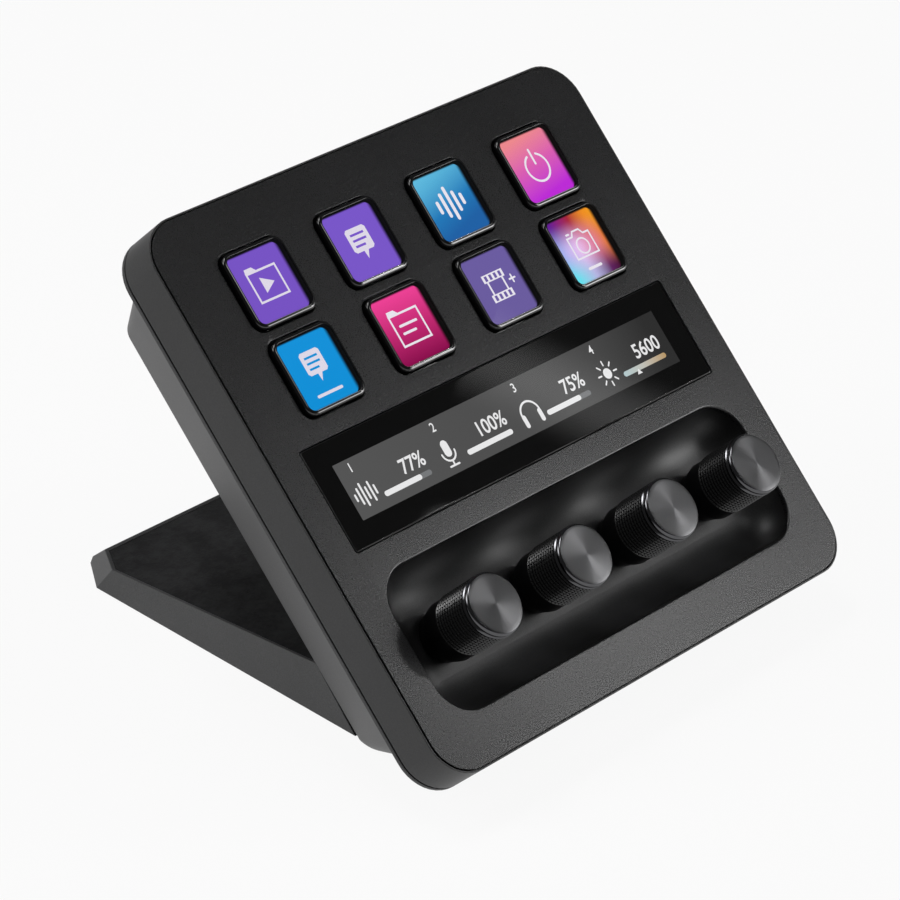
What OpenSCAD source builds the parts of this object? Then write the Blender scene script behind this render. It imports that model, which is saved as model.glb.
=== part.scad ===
// Macro keypad with display keys, a touch strip and four push dials on a wedge stand.
// Millimetres. X runs to the right, Y to the back, Z up; the stand rests on Z = 0.
// The panel's own pieces are drawn on its face: x across, y up the face, z out of the face.

/* [Panel] */
// Width of the panel
panel_w = 140; // [136:1:156]
// Height of the panel, measured up its face
face_h = 136; // [134:1:148]
// Angle between the face and the table
panel_tilt = 45; // [40:1:52]
// Height of the face's lower edge above the table
lower_edge_h = 14; // [12:0.5:20]
// Radius of the panel's corners
corner_r = 10; // [7:0.5:12]
// Depth of the front housing's side
housing_depth = 10.6; // [10:0.2:13]
// Wall of both housings
wall = 2; // [1.6:0.1:2.4]
// Width of the housing's lip round the faceplate
lip_w = 0.65; // [0.4:0.05:1.2]
// Thickness of the faceplate
plate_t = 1.2; // [0.8:0.1:1.8]
// Thickness of the web that carries the faceplate
web_t = 1.6; // [1.2:0.1:2.2]

/* [Rear housing] */
// Depth from the face to the flat back of the rear housing
slab_depth = 39; // [36:1:44]
// Depth of the rear housing's rim
rim_depth = 1.6; // [1.2:0.1:3]
// Step in from the rim to the block at each side
side_step = 2.6; // [1.5:0.1:4]
// Step in from the rim to the block at the top
top_step = 6; // [4:0.5:9]
// Step in from the rim to the block at the bottom
bottom_step = 8; // [5:0.5:10]
// How far the block's sides lean in towards its back
side_lean = 13.4; // [9:0.2:16]
// How far the block's top leans in
top_lean = 4.5; // [2:0.5:8]
// How far the block's bottom leans in
bottom_lean = 7.5; // [4:0.5:9]

/* [Stand] */
// Depth of the whole object on the table
stand_depth = 138; // [128:1:150]
// Height of the stand where it meets the panel's back
stand_front_h = 13.4; // [12:0.2:16]
// Height of the stand at the top of its back bevel
stand_back_h = 7; // [6.6:0.2:9]
// How much narrower the stand is at its back than at its front
stand_taper = 10; // [4:0.5:16]
// Run of the bevel across the stand's back
back_bevel = 6; // [4:0.2:9]
// Height of the upright edge below that bevel
back_edge_h = 1.9; // [1.2:0.1:3]
// Length of the cut across each back corner, measured on top
corner_cut = 11.2; // [7:0.2:16]
// Wall of the stand
stand_wall = 2.4; // [1.8:0.1:3]
// Thickness of the inlay on top of the stand
inlay_t = 1; // [0.6:0.1:1.4]
// Width of the edge left bare beside the inlay
inlay_edge = 0.8; // [0.5:0.1:2]
// Thickness of the stand's floor
floor_t = 1.6; // [1.2:0.1:2]
// Thickness of the rubber foot
foot_t = 0.8; // [0.6:0.1:1.2]
// How far the rubber foot stands out below the stand
foot_proud = 0.4; // [0.3:0.1:0.5]
// Thickness of the steel weight
weight_t = 2.8; // [1.5:0.1:3]

/* [Keys] */
// Distance from the panel's side to the middle of the outer key column
key_margin = 25.3; // [24:0.1:27]
// Distance between key rows
key_pitch_y = 21.6; // [21.4:0.1:22.6]
// Height of the middle between the two key rows above the face's middle
keys_v = 35.4; // [35:0.1:36.4]
// Side of the square key openings
key_hole = 19.5; // [19:0.1:19.6]
// Corner radius of the key openings
key_hole_r = 3.2; // [2:0.1:4.5]
// Clearance between a key and its opening
key_gap = 0.4; // [0.25:0.05:0.6]
// Height of a key's rim above the face
key_rise = 1.4; // [1.2:0.1:2]
// Travel of a key
key_travel = 1.5; // [1:0.1:1.6]
// Width of the dark rim round a key's window
key_border = 0.8; // [0.7:0.1:1.2]
// Thickness of the key guide
guide_t = 3.6; // [3.4:0.1:4.2]

/* [Touch strip] */
// Distance from the panel's side to the touch glass
strip_margin = 9.3; // [8:0.1:12]
// Height of the touch glass
strip_h = 24.6; // [23:0.2:25.4]
// Height of the glass's middle above the face's middle
strip_v = -2.4; // [-2.9:0.1:-2]
// Dark border at each end of the lit display
strip_border = 6.65; // [5:0.05:10]
// Height of the lit display behind the glass
strip_view_h = 13.5; // [12:0.1:14.4]

/* [Dials] */
// Distance from the panel's side to the middle of the outer dial
knob_margin = 25; // [24:0.1:27]
// Radius of a dial's knurled grip
knob_r = 7.35; // [7.1:0.05:8]
// Radius of the smooth collar below the grip
knob_root_r = 7.05; // [6.6:0.05:7.2]
// Height of a dial's top above the face
knob_rise = 13.1; // [11:0.1:16]
// Push travel of a dial
knob_travel = 0.6; // [0.3:0.1:0.7]
// Distance from the panel's side to the finger trough
trough_margin = 9.7; // [9:0.1:12]
// Height of the finger trough
trough_h = 35.2; // [33:0.2:36]
// Corner radius of the finger trough
trough_r = 9.3; // [8:0.1:10]
// Depth of the finger trough below the face
trough_d = 8.7; // [8:0.1:9.4]
// Height of the trough's middle above the face's middle
trough_v = -38.8; // [-39.4:0.1:-38.4]
// Wall of the trough
tray_wall = 1.6; // [1.2:0.1:2]
// Radius of a dial's shaft
shaft_r = 1.5; // [1.4:0.05:1.6]

/* [Socket] */
// Height of the socket above the face's middle
socket_v = 40; // [30:1:46]

/* [Hidden] */
$fn = 64;
hull_fn = 32;
ARC_STEPS = 16;
BIG = 400;
EPS = 0.01;
KEYS = 8;
DIALS = 4;

// Clearances
fit = 0.2;
seam = 0.3;
plate_gap = 0.3;
running = 0.05;

// Levels below the face, all at or below 0
lip_z = -0.25;
web_top = -plate_t;
web_back = web_top - web_t;
guide_back = web_back - guide_t;
mat_t = 0.8;
mat_back = guide_back - mat_t;
panel_display_t = 2;
display_back = mat_back - panel_display_t;
board_t = 1.6;
board_back = display_back - board_t;
rim_back = -housing_depth - rim_depth;
back_face = -slab_depth;
back_inner = back_face + wall;

// The face's middle in the part's frame
face_y = -stand_depth / 2 + face_h / 2 * cos(panel_tilt) + lip_z * sin(panel_tilt);
face_z = lower_edge_h + face_h / 2 * sin(panel_tilt);

// Faceplate outline
plate_w = panel_w - 2 * (lip_w + plate_gap);
plate_h = face_h - 2 * (lip_w + plate_gap);
plate_r = corner_r - lip_w - plate_gap;

// Keys
key_pitch_x = (panel_w - 2 * key_margin) / 3;
key_base = key_hole - 2 * key_gap;
key_top = key_base - 0.5;
key_base_r = key_hole_r - key_gap;
lens_top = key_rise - 0.2;
frame_bottom = web_back - 1.6;
flange_side = key_hole + 2 * seam;
flange_top = web_back - 0.25;
guide_cell = flange_side + 2 * seam;
guide_margin = 0.9;
window_side = key_base - 2 * key_border;
window_r = 2.2;
picture_z = -1.05;
ledge_w = 0.6;
function key_x(i) = ((i - 1) % 4 - 1.5) * key_pitch_x;
function key_y(i) = keys_v + (i <= 4 ? 0.5 : -0.5) * key_pitch_y;
key_block_w = 3 * key_pitch_x + guide_cell + 2 * guide_margin;
key_block_h = key_pitch_y + guide_cell + 2 * guide_margin;

// Touch strip
glass_top = -0.05;
strip_w = panel_w - 2 * strip_margin;
strip_view_w = strip_w - 2 * strip_border;
display_t = 2.2;
strip_body_w = strip_view_w + 4;
strip_body_h = strip_view_h + 4.1;

// Dials
knob_pitch = (panel_w - 2 * knob_margin) / 3;
trough_w = panel_w - 2 * trough_margin;
knob_skirt_bottom = -trough_d + knob_travel + fit;
knob_collar_bottom = -4;
knob_grip_bottom = 0.8;
knob_skirt_r = knob_root_r - 1.15;
cap_seat = knob_rise - 2.2;
hollow_r = 5;
hollow_top = -1;
tray_back = -trough_d - tray_wall;
tray_flange = 1.2;
tray_flange_t = 1.4;
bushing_r = 3.3;
bushing_top = -trough_d + 1.1;
case_side = 12;
case_h = 6;
case_back = tray_back - case_h;
rotor_r = 2.6;
rotor_disc_r = 4.5;
rotor_top = bushing_top + 0.3;
rotor_bottom = case_back + 2.5;
rotor_disc_h = 2.1;
shaft_bottom = rotor_bottom - 1;
shaft_top = cap_seat - 5;
flat_cut = 0.5;
dial_board_back = case_back - board_t;
dial_post_r = 2.4;
dial_post_x = [-knob_pitch, 0, knob_pitch];
function knob_x(i) = (i - 2.5) * knob_pitch;

// Screws
small_screw_r = 1;
small_head_r = 1.9;
small_head_h = 1.3;
small_screw_l = 5;
large_screw_r = 1.5;
large_head_r = 2.8;
large_head_h = 2;
post_r = 2.9;
post_x = 40;
post_low_v = (trough_v + trough_h / 2 + tray_wall + tray_flange + strip_v - strip_body_h / 2) / 2;
post_high_v = (strip_v + strip_body_h / 2 + keys_v - key_block_h / 2) / 2;
post_joint = rim_back - 1;
housing_screw_l = 10;
post_floor = post_joint - 3;
post_wall = 0.9;
board_boss_r = 2.2;
board_boss_x = key_block_w / 2 + board_boss_r + 0.6;
board_boss_dv = 16;
board_w = 2 * (board_boss_x + board_boss_r + 0.4);

// Stand, in the part's frame
lift = foot_proud;
front_half_w = panel_w / 2 - side_step - side_lean;
back_half_w = front_half_w - stand_taper / 2;
back_y = stand_depth / 2;
bevel_y = back_y - back_bevel;
corner_az = 37;
corner_tip = 23;
stand_top_wall = 1.8;
stand_front_wall = 3;
stand_seam_w = 0.6;
stand_screw_x = [-42, -20, 20, 42];
stand_screw_h = stand_front_h * 0.62;
stand_screw_l = 4;
stand_boss_r = 2.8;
weight_w = 84;
weight_d = 44;
weight_y = 11;

// Y of the back plane of the panel, moved out by off, at height h
function back_plane_y(h, off = 0) =
    face_y + (cos(panel_tilt) * (h - face_z) + slab_depth + off) / sin(panel_tilt);
// Height of the stand's top line at y
function top_line(y, drop = 0) =
    let (y0 = back_plane_y(stand_front_h))
    stand_front_h - drop + (stand_back_h - stand_front_h) * (y - y0) / (bevel_y - y0);

// Socket
socket_w = 9;
socket_h = 3.3;
socket_l = 8;
port_z = back_face + 0.6 + socket_l;
port_post_dx = 8;
port_board_h = 9;
board_edge = 3;

// Flat cables
ribbon_t = 0.3;
ribbon_lap = 7;
ribbon_bend = 5;
strip_ribbon_w = 16;
strip_ribbon_x = -14;
dial_ribbon_w = 10;
dial_ribbon_x = 8;
port_ribbon_w = 8;

// ---- shared shapes ----

module on_face() {
    translate([0, face_y, face_z]) rotate([panel_tilt, 0, 0]) children();
}

module round_rect(w, h, r) {
    square([w - 2 * r, h], center = true);
    square([w, h - 2 * r], center = true);
    for (sx = [-1, 1], sy = [-1, 1])
        translate([sx * (w / 2 - r), sy * (h / 2 - r)]) circle(r);
}

// Slab of rounded outline between two levels
module slab(w, h, r, z0, z1) {
    translate([0, 0, z0]) linear_extrude(z1 - z0) round_rect(w, h, r);
}

module rod(r, z0, z1) {
    translate([0, 0, z0]) cylinder(r = r, h = z1 - z0);
}

module at_keys() {
    for (i = [1:KEYS]) translate([key_x(i), key_y(i), 0]) children();
}

module at_dials() {
    for (i = [1:DIALS]) translate([knob_x(i), trough_v, 0]) children();
}

module at_posts() {
    for (sx = [-1, 1], v = [post_low_v, post_high_v])
        translate([sx * post_x, v, 0]) children();
}

module at_board_bosses() {
    for (sx = [-1, 1], sy = [-1, 1])
        translate([sx * board_boss_x, keys_v + sy * board_boss_dv, 0]) children();
}

// Half ellipse hanging below z = 0, r out and d deep
function half_bowl(r, d) = [for (i = [0:ARC_STEPS]) let (a = 90 * i / ARC_STEPS) [r * cos(a), -d * sin(a)]];

// Tub whose walls start upright at z = 0 and sweep round into a flat floor at -d
module tub(w, h, r, d) {
    arc = half_bowl(r, d);
    section = concat([[0, 0]], arc);
    for (sx = [-1, 1], sy = [-1, 1])
        translate([sx * (w / 2 - r), sy * (h / 2 - r), 0]) rotate_extrude() polygon(section);
    for (sy = [-1, 1])
        translate([-(w / 2 - r), sy * (h / 2 - r), 0]) rotate([90, 0, 90])
            linear_extrude(w - 2 * r) scale_x(sy) polygon(section);
    for (sx = [-1, 1])
        translate([sx * (w / 2 - r), h / 2 - r, 0]) rotate([90, 0, 0])
            linear_extrude(h - 2 * r) scale_x(sx) polygon(section);
    translate([-(w / 2 - r), -(h / 2 - r), -d]) cube([w - 2 * r, h - 2 * r, d]);
}

module scale_x(s) {
    if (s < 0) mirror([1, 0]) children();
    else children();
}

// Pan-head screw along z, head's underside at z = 0, shank towards +z
module screw(r, head_r, head_h, length) {
    difference() {
        union() {
            rod(head_r, -head_h, 0);
            rod(r, -EPS, length);
        }
        for (a = [0, 90]) rotate([0, 0, a])
            translate([-head_r * 0.6, -0.25, -head_h - 1]) cube([head_r * 1.2, 0.5, 1 + head_h * 0.5]);
    }
}

// ---- front of the panel ----

module faceplate() color("#2b2b2d") on_face() difference() {
    slab(plate_w, plate_h, plate_r, web_top, 0);
    at_keys() slab(key_hole, key_hole, key_hole_r, web_top - 1, 1);
    translate([0, strip_v, 0])
        slab(strip_w + 2 * fit, strip_h + 2 * fit, 0.8, web_top - 1, 1);
    translate([0, trough_v, 0]) slab(trough_w, trough_h, trough_r, web_top - 1, 1);
}

module front_housing() color("#3c3c3e") on_face() difference() {
    union() {
        difference() {
            slab(panel_w, face_h, corner_r, -housing_depth, lip_z);
            slab(panel_w - 2 * wall, face_h - 2 * wall, corner_r - wall, -housing_depth - 1, web_back);
        }
        at_posts() rod(post_r, post_joint, web_back + EPS);
        at_board_bosses() rod(board_boss_r, display_back, web_back + EPS);
    }
    slab(plate_w + 2 * plate_gap, plate_h + 2 * plate_gap, plate_r + plate_gap, web_top, 1);
    at_keys() slab(key_hole, key_hole, key_hole_r, web_back - 1, 1);
    translate([0, strip_v, 0])
        slab(strip_body_w + 2 * fit, strip_body_h + 2 * fit, 0.5, web_back - 1, 1);
    translate([0, trough_v, 0])
        slab(trough_w + 2 * tray_wall + 2 * fit, trough_h + 2 * tray_wall + 2 * fit,
             trough_r + tray_wall + fit, web_back - 1, 1);
    at_posts() rod(large_screw_r, post_joint - 1, post_joint + housing_screw_l - 2.6);
    at_board_bosses() rod(small_screw_r, display_back - 1, display_back + small_screw_l - board_t + 0.4);
}

module knob_tray() color("#242426") on_face() difference() {
    union() {
        translate([0, trough_v, 0]) intersection() {
            tub(trough_w + 2 * tray_wall, trough_h + 2 * tray_wall, trough_r + tray_wall,
                trough_d + tray_wall);
            translate([0, 0, web_top - BIG / 2]) cube(BIG, center = true);
        }
        translate([0, trough_v, 0])
            slab(trough_w + 2 * (tray_wall + tray_flange), trough_h + 2 * (tray_wall + tray_flange),
                 trough_r + tray_wall + tray_flange, web_back - tray_flange_t, web_back);
        for (x = dial_post_x) translate([x, trough_v, 0])
            rod(dial_post_r, case_back, tray_back + 0.5);
    }
    translate([0, trough_v, 0]) tub(trough_w, trough_h, trough_r, trough_d);
    at_dials() rod(bushing_r + fit, tray_back - 1, 0);
    for (x = dial_post_x) translate([x, trough_v, 0])
        rod(small_screw_r, case_back - 1, case_back + small_screw_l - board_t + 0.4);
}

// ---- back of the panel ----

// Slice of the rear block at depth share t, 0 at the rim and 1 at the back, moved in by inset
module block_slice(t, z0, z1, inset) {
    w = panel_w - 2 * (side_step + side_lean * t + inset);
    top = face_h / 2 - top_step - top_lean * t - inset;
    bottom = -face_h / 2 + bottom_step + bottom_lean * t + inset;
    translate([0, (top + bottom) / 2, 0])
        slab(w, top - bottom, max(1, 6 - 2 * t - inset), z0, z1);
}

module block(inset, z_front, z_back) {
    span = rim_back - back_face;
    t_front = (rim_back - z_front) / span;
    t_back = (rim_back - z_back) / span;
    hull() {
        block_slice(t_front, z_front - EPS, z_front, inset, $fn = hull_fn);
        block_slice(t_back, z_back, z_back + EPS, inset, $fn = hull_fn);
    }
}

module rear_housing() color("#4a4a4c") difference() {
    on_face() difference() {
        union() {
            difference() {
                union() {
                    slab(panel_w, face_h, corner_r, rim_back, -housing_depth);
                    block(0, rim_back, back_face);
                }
                block(wall, rim_back, back_inner);
                block_slice(0, rim_back - EPS, 0, wall);
            }
            at_posts() rod(post_r + post_wall, back_face + 0.5, post_joint);
            for (sx = [-1, 1]) translate([sx * port_post_dx, socket_v, 0])
                rod(2, back_face + 0.5, port_z);
            // floor of the block along its level cut
            intersection() {
                block(0, rim_back, back_face);
                under_table_line(lift + wall);
            }
        }
        // shadow groove round the seam
        difference() {
            slab(panel_w + 1, face_h + 1, corner_r, -housing_depth - seam, 1);
            slab(panel_w - 1, face_h - 1, corner_r - 0.5, -housing_depth - seam - 1, 2);
        }
        // screw heads sink into the posts
        at_posts() {
            rod(large_head_r + fit, back_face - 1, post_floor);
            rod(large_screw_r + fit, post_floor - 1, 0);
        }
        translate([0, socket_v, 0])
            slab(socket_w + 2 * fit, socket_h + 2 * fit, socket_h / 2 + fit - EPS,
                 back_face - 1, back_inner + 1);
        for (sx = [-1, 1]) translate([sx * port_post_dx, socket_v, 0])
            rod(small_screw_r, port_z - small_screw_l + board_t - 0.4, port_z + 1);
    }
    // level cut along the table
    translate([-BIG / 2, -BIG / 2, lift - BIG]) cube(BIG);
    stand_screw_holes(large_screw_r + fit);
}

// Everything below height h, drawn on the face
module under_table_line(h) {
    rotate([-panel_tilt, 0, 0]) translate([-BIG / 2, -BIG / 2, h - face_z - BIG]) cube(BIG);
}

// Bores for the screws between the rear housing and the stand
module stand_screw_holes(r) {
    for (x = stand_screw_x) at_stand_screw(x) rod(r, -wall - 1, stand_screw_l + 1);
}

// Screw place on the back plane, +z into the stand
module at_stand_screw(x) {
    translate([x, back_plane_y(stand_screw_h), stand_screw_h]) rotate([panel_tilt - 180, 0, 0]) children();
}

// ---- stand ----

// Side view of the stand, its top lowered by drop and its ends moved in by inset
module stand_profile(drop, inset, bottom) {
    y_top = back_plane_y(stand_front_h - drop, inset);
    y_low = back_plane_y(bottom, inset);
    y_end = bevel_y - inset * 0.4;
    polygon([
        [y_low, bottom],
        [y_top, top_line(y_top, drop)],
        [y_end, top_line(y_end, drop)],
        [back_y - inset, min(back_edge_h, top_line(y_end, drop))],
        [back_y - inset, bottom]
    ]);
}

module stand_solid(drop, inset, bottom) {
    difference() {
        intersection() {
            rotate([90, 0, 90]) translate([0, 0, -panel_w]) linear_extrude(2 * panel_w)
                stand_profile(drop, inset, bottom);
            translate([0, 0, -1]) linear_extrude(BIG) stand_plan(inset);
        }
        stand_corner_cuts(inset);
    }
}

// Plan of the stand, narrowing to the back
module stand_plan(inset) {
    y0 = back_plane_y(0) - 5;
    y_ref = back_plane_y(lift);
    slope = (front_half_w - back_half_w) / (back_y - y_ref);
    w0 = front_half_w + slope * (y_ref - y0) - inset;
    w1 = back_half_w - inset;
    polygon([[-w0, y0], [w0, y0], [w1, back_y], [-w1, back_y]]);
}

// Slanted cuts across the two back corners
module stand_corner_cuts(inset) {
    run = corner_cut * cos(corner_az);
    y_cut = bevel_y - run;
    x_cut = back_half_w + stand_taper / 2 * (back_y - y_cut) / (back_y - back_plane_y(lift));
    for (sx = [0, 1]) mirror([sx, 0, 0])
        translate([x_cut, y_cut, top_line(y_cut)]) rotate([0, -corner_tip, corner_az])
            translate([-inset, -BIG / 2, -BIG / 2]) cube(BIG);
}

// Hollow of the stand, gap smaller all round, from height bottom up
module stand_hollow(gap, bottom) difference() {
    stand_solid(inlay_t + stand_top_wall, stand_wall + gap, bottom);
    on_face() translate([-panel_w, -face_h, back_face - stand_front_wall - gap])
        cube([2 * panel_w, 2 * face_h, BIG]);
}

module stand_body() color("#4d4d4f") difference() {
    stand_solid(0, 0, lift);
    difference() {
        stand_hollow(0, lift - 1);
        for (x = stand_screw_x) at_stand_screw(x) rod(stand_boss_r, 0, stand_screw_l + 0.4);
    }
    stand_inlay_shape(inlay_edge, 1);
    stand_seam();
    stand_screw_holes(large_screw_r);
}

// Shadow groove where the stand meets the back of the panel
module stand_seam() difference() {
    on_face() translate([-panel_w, -face_h, back_face - stand_seam_w])
        cube([2 * panel_w, 2 * face_h, stand_seam_w + EPS]);
    translate([1 - front_half_w, -BIG / 2, -1])
        cube([2 * front_half_w - 2, BIG, stand_front_h - inlay_t]);
}

// Inlay on the stand's top, edge in from its outline and over above it
module stand_inlay_shape(edge, over) {
    y0 = back_plane_y(stand_front_h) - 3;
    y1 = bevel_y - edge;
    difference() {
        intersection() {
            rotate([90, 0, 90]) translate([0, 0, -panel_w]) linear_extrude(2 * panel_w) polygon([
                [y0, top_line(y0, inlay_t)], [y0, top_line(y0, -over)],
                [y1, top_line(y1, -over)], [y1, top_line(y1, inlay_t)]
            ]);
            translate([0, 0, -1]) linear_extrude(BIG) stand_plan(edge);
        }
        stand_corner_cuts(edge);
    }
}

module stand_inlay() color("#161617") difference() {
    stand_inlay_shape(inlay_edge + 0.05, 0);
    on_face() translate([-panel_w, -face_h, back_face - stand_seam_w]) cube([2 * panel_w, 2 * face_h, BIG]);
}

module stand_floor() color("#2f2f31") difference() {
    intersection() {
        stand_hollow(fit, lift);
        translate([-BIG / 2, -BIG / 2, 0]) cube([BIG, BIG, lift + floor_t]);
    }
    translate([0, 0, -1]) linear_extrude(1 + foot_t) foot_plan(0);
}

// Outline of the rubber foot, less gap
module foot_plan(gap) {
    inset = stand_wall + 2.5 + gap;
    y0 = back_plane_y(lift + floor_t, stand_front_wall) + 2 + gap;
    y1 = back_y - inset;
    w0 = front_half_w - inset;
    w1 = back_half_w - inset;
    cut = corner_cut * 0.8;
    polygon([
        [-w0, y0], [w0, y0], [w1, y1 - cut], [w1 - cut, y1], [cut - w1, y1], [-w1, y1 - cut]
    ]);
}

module stand_foot() color("#1a1a1b") linear_extrude(foot_t) foot_plan(0.1);

module stand_weight() color("#8d8f92")
    translate([-weight_w / 2, back_plane_y(lift + floor_t, stand_front_wall) + weight_y, lift + floor_t])
        cube([weight_w, weight_d, weight_t]);

// ---- keys ----

module key_frame(i) color("#111112") on_face() translate([key_x(i), key_y(i), 0]) difference() {
    union() {
        hull() {
            slab(key_base, key_base, key_base_r, frame_bottom, 0, $fn = hull_fn);
            slab(key_top, key_top, key_base_r - 0.25, key_rise - EPS, key_rise, $fn = hull_fn);
        }
        slab(flange_side, flange_side, key_base_r + 0.4, frame_bottom, flange_top);
    }
    slab(window_side, window_side, window_r, picture_z, key_rise + 1);
    slab(window_side - 2 * ledge_w, window_side - 2 * ledge_w, window_r - ledge_w, frame_bottom - 1, 0);
}

module key_lens(i) color("#d8dde6", 0.5) on_face() translate([key_x(i), key_y(i), 0])
    slab(window_side - 0.1, window_side - 0.1, window_r, picture_z + 0.05, lens_top);

module key_guide() color("#1d1d1e") on_face() difference() {
    translate([0, keys_v, 0]) slab(key_block_w, key_block_h, 3, guide_back, web_back);
    at_keys() slab(guide_cell, guide_cell, key_base_r + 0.6, guide_back - 1, web_back + 1);
}

module key_mat() color("#cfd2d4") on_face() {
    difference() {
        translate([0, keys_v, 0]) slab(key_block_w, key_block_h, 3, mat_back, guide_back);
        at_keys() slab(window_side - 2 * ledge_w, window_side - 2 * ledge_w, 1, mat_back - 1, guide_back + 1);
    }
    at_keys() for (sx = [-1, 1], sy = [-1, 1])
        translate([sx * (key_base / 2 - 0.9), sy * (key_base / 2 - 0.9), 0])
            rod(0.7, guide_back - EPS, frame_bottom - key_travel - 0.1);
}

module key_display() color("#0d1116") on_face()
    translate([0, keys_v, 0]) slab(key_block_w, key_block_h, 1, display_back, mat_back);

// ---- touch strip ----

module strip_glass() color("#0b0b0c") on_face()
    translate([0, strip_v, 0]) slab(strip_w, strip_h, 0.6, web_top, glass_top);

module strip_display() color("#4a4c50") on_face() translate([0, strip_v, 0])
    slab(strip_body_w, strip_body_h, 0.4, web_top - display_t, web_top);

// ---- dials ----

module at_dial(i) {
    on_face() translate([knob_x(i), trough_v, 0]) children();
}

// Sleeve seen as half a section: skirt, collar, knurled grip, hollow below, hub above
module knob_sleeve(i) color("#101011") at_dial(i) difference() {
    rotate_extrude() polygon([
        [hollow_r, knob_skirt_bottom], [knob_skirt_r, knob_skirt_bottom],
        [knob_root_r, knob_collar_bottom], [knob_root_r, knob_grip_bottom - 0.3],
        [knob_r - 0.05, knob_grip_bottom], [knob_r, cap_seat],
        [0, cap_seat], [0, hollow_top], [hollow_r, hollow_top]
    ]);
    rod(shaft_r, hollow_top - 1, shaft_top);
    rod(2.5, cap_seat - 1.6, cap_seat + 1);
}

// Metal cap: bright ring, groove, bevelled edge and a dished face
module knob_cap(i) color("#77797c") at_dial(i) rotate_extrude() polygon([
    [0, cap_seat - 1.5], [2.45, cap_seat - 1.5], [2.45, cap_seat],
    [knob_r + 0.05, cap_seat], [knob_r + 0.05, cap_seat + 0.65],
    [knob_r - 0.35, cap_seat + 0.75], [knob_r - 0.35, cap_seat + 1.1],
    [knob_r, cap_seat + 1.25], [knob_r, knob_rise - 0.45],
    [knob_r - 0.25, knob_rise], [knob_r - 0.5, knob_rise],
    [knob_r - 0.6, knob_rise - 0.15], [0, knob_rise - 0.15]
]);

// Round bar with one flat, grown by gap
module flat_bar(gap, z0, z1) {
    difference() {
        rod(shaft_r + gap, z0, z1);
        translate([shaft_r - flat_cut + gap, -5, z0 - 1]) cube([10, 10, z1 - z0 + 2]);
    }
}

module knob_shaft(i) color("#9a9da0") at_dial(i) {
    flat_bar(0, shaft_bottom, hollow_top);
    rod(shaft_r, hollow_top, shaft_top - 0.1);
}

module encoder_rotor(i) color("#e7e4da") at_dial(i) difference() {
    union() {
        rod(rotor_r, rotor_bottom, rotor_top);
        rod(rotor_disc_r, rotor_bottom, rotor_bottom + rotor_disc_h);
    }
    flat_bar(running, rotor_bottom - 1, rotor_top + 1);
}

module encoder_case(i) color("#6f7276") at_dial(i) difference() {
    union() {
        translate([-case_side / 2, -case_side / 2, case_back]) cube([case_side, case_side, case_h]);
        rod(bushing_r, tray_back - 1, bushing_top);
    }
    rod(rotor_r + running, rotor_bottom, bushing_top + 1);
    rod(rotor_disc_r + seam, rotor_bottom - 0.1, rotor_bottom + rotor_disc_h + 0.1);
    rod(shaft_r + 0.6, shaft_bottom - knob_travel - 0.2, rotor_bottom);
}

// ---- electronics ----

module main_board() color("#14532d") on_face() difference() {
    translate([0, keys_v, 0]) slab(board_w, key_block_h + 0.4, 2, board_back, display_back);
    at_board_bosses() rod(small_screw_r + fit, board_back - 1, display_back + 1);
}

module dial_board() color("#14532d") on_face() difference() {
    translate([0, trough_v, 0])
        slab(3 * knob_pitch + case_side + 2 * board_edge, case_side + board_edge, 2,
             dial_board_back, case_back);
    for (x = dial_post_x) translate([x, trough_v, 0])
        rod(small_screw_r + fit, dial_board_back - 1, case_back + 1);
}

module port_board() color("#14532d") on_face() difference() {
    translate([0, socket_v, 0])
        slab(2 * (port_post_dx + board_edge), port_board_h, 1.5, port_z, port_z + board_t);
    for (sx = [-1, 1]) translate([sx * port_post_dx, socket_v, 0])
        rod(small_screw_r + fit, port_z - 1, port_z + board_t + 1);
}

module usb_socket() color("#a9acb0") on_face() translate([0, socket_v, 0]) difference() {
    slab(socket_w, socket_h, socket_h / 2 - EPS, port_z - socket_l, port_z);
    difference() {
        slab(socket_w - 0.7, socket_h - 0.7, (socket_h - 0.7) / 2 - EPS, port_z - socket_l - 1, port_z - 1.4);
        translate([-3.3, -0.35, port_z - socket_l + 0.8]) cube([6.6, 0.7, socket_l]);
    }
}

// Flat cable along a path of [height on the face, depth] points
function path_normal(p, i) =
    let (a = p[max(i - 1, 0)], b = p[min(i + 1, len(p) - 1)], d = b - a) [-d[1], d[0]] / norm(d);
module ribbon(path, x, width) {
    outline = concat(
        [for (i = [0:len(path) - 1]) path[i] + path_normal(path, i) * ribbon_t / 2],
        [for (i = [len(path) - 1:-1:0]) path[i] - path_normal(path, i) * ribbon_t / 2]
    );
    translate([x, 0, 0]) rotate([90, 0, 90]) linear_extrude(width) polygon(outline);
}

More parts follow.
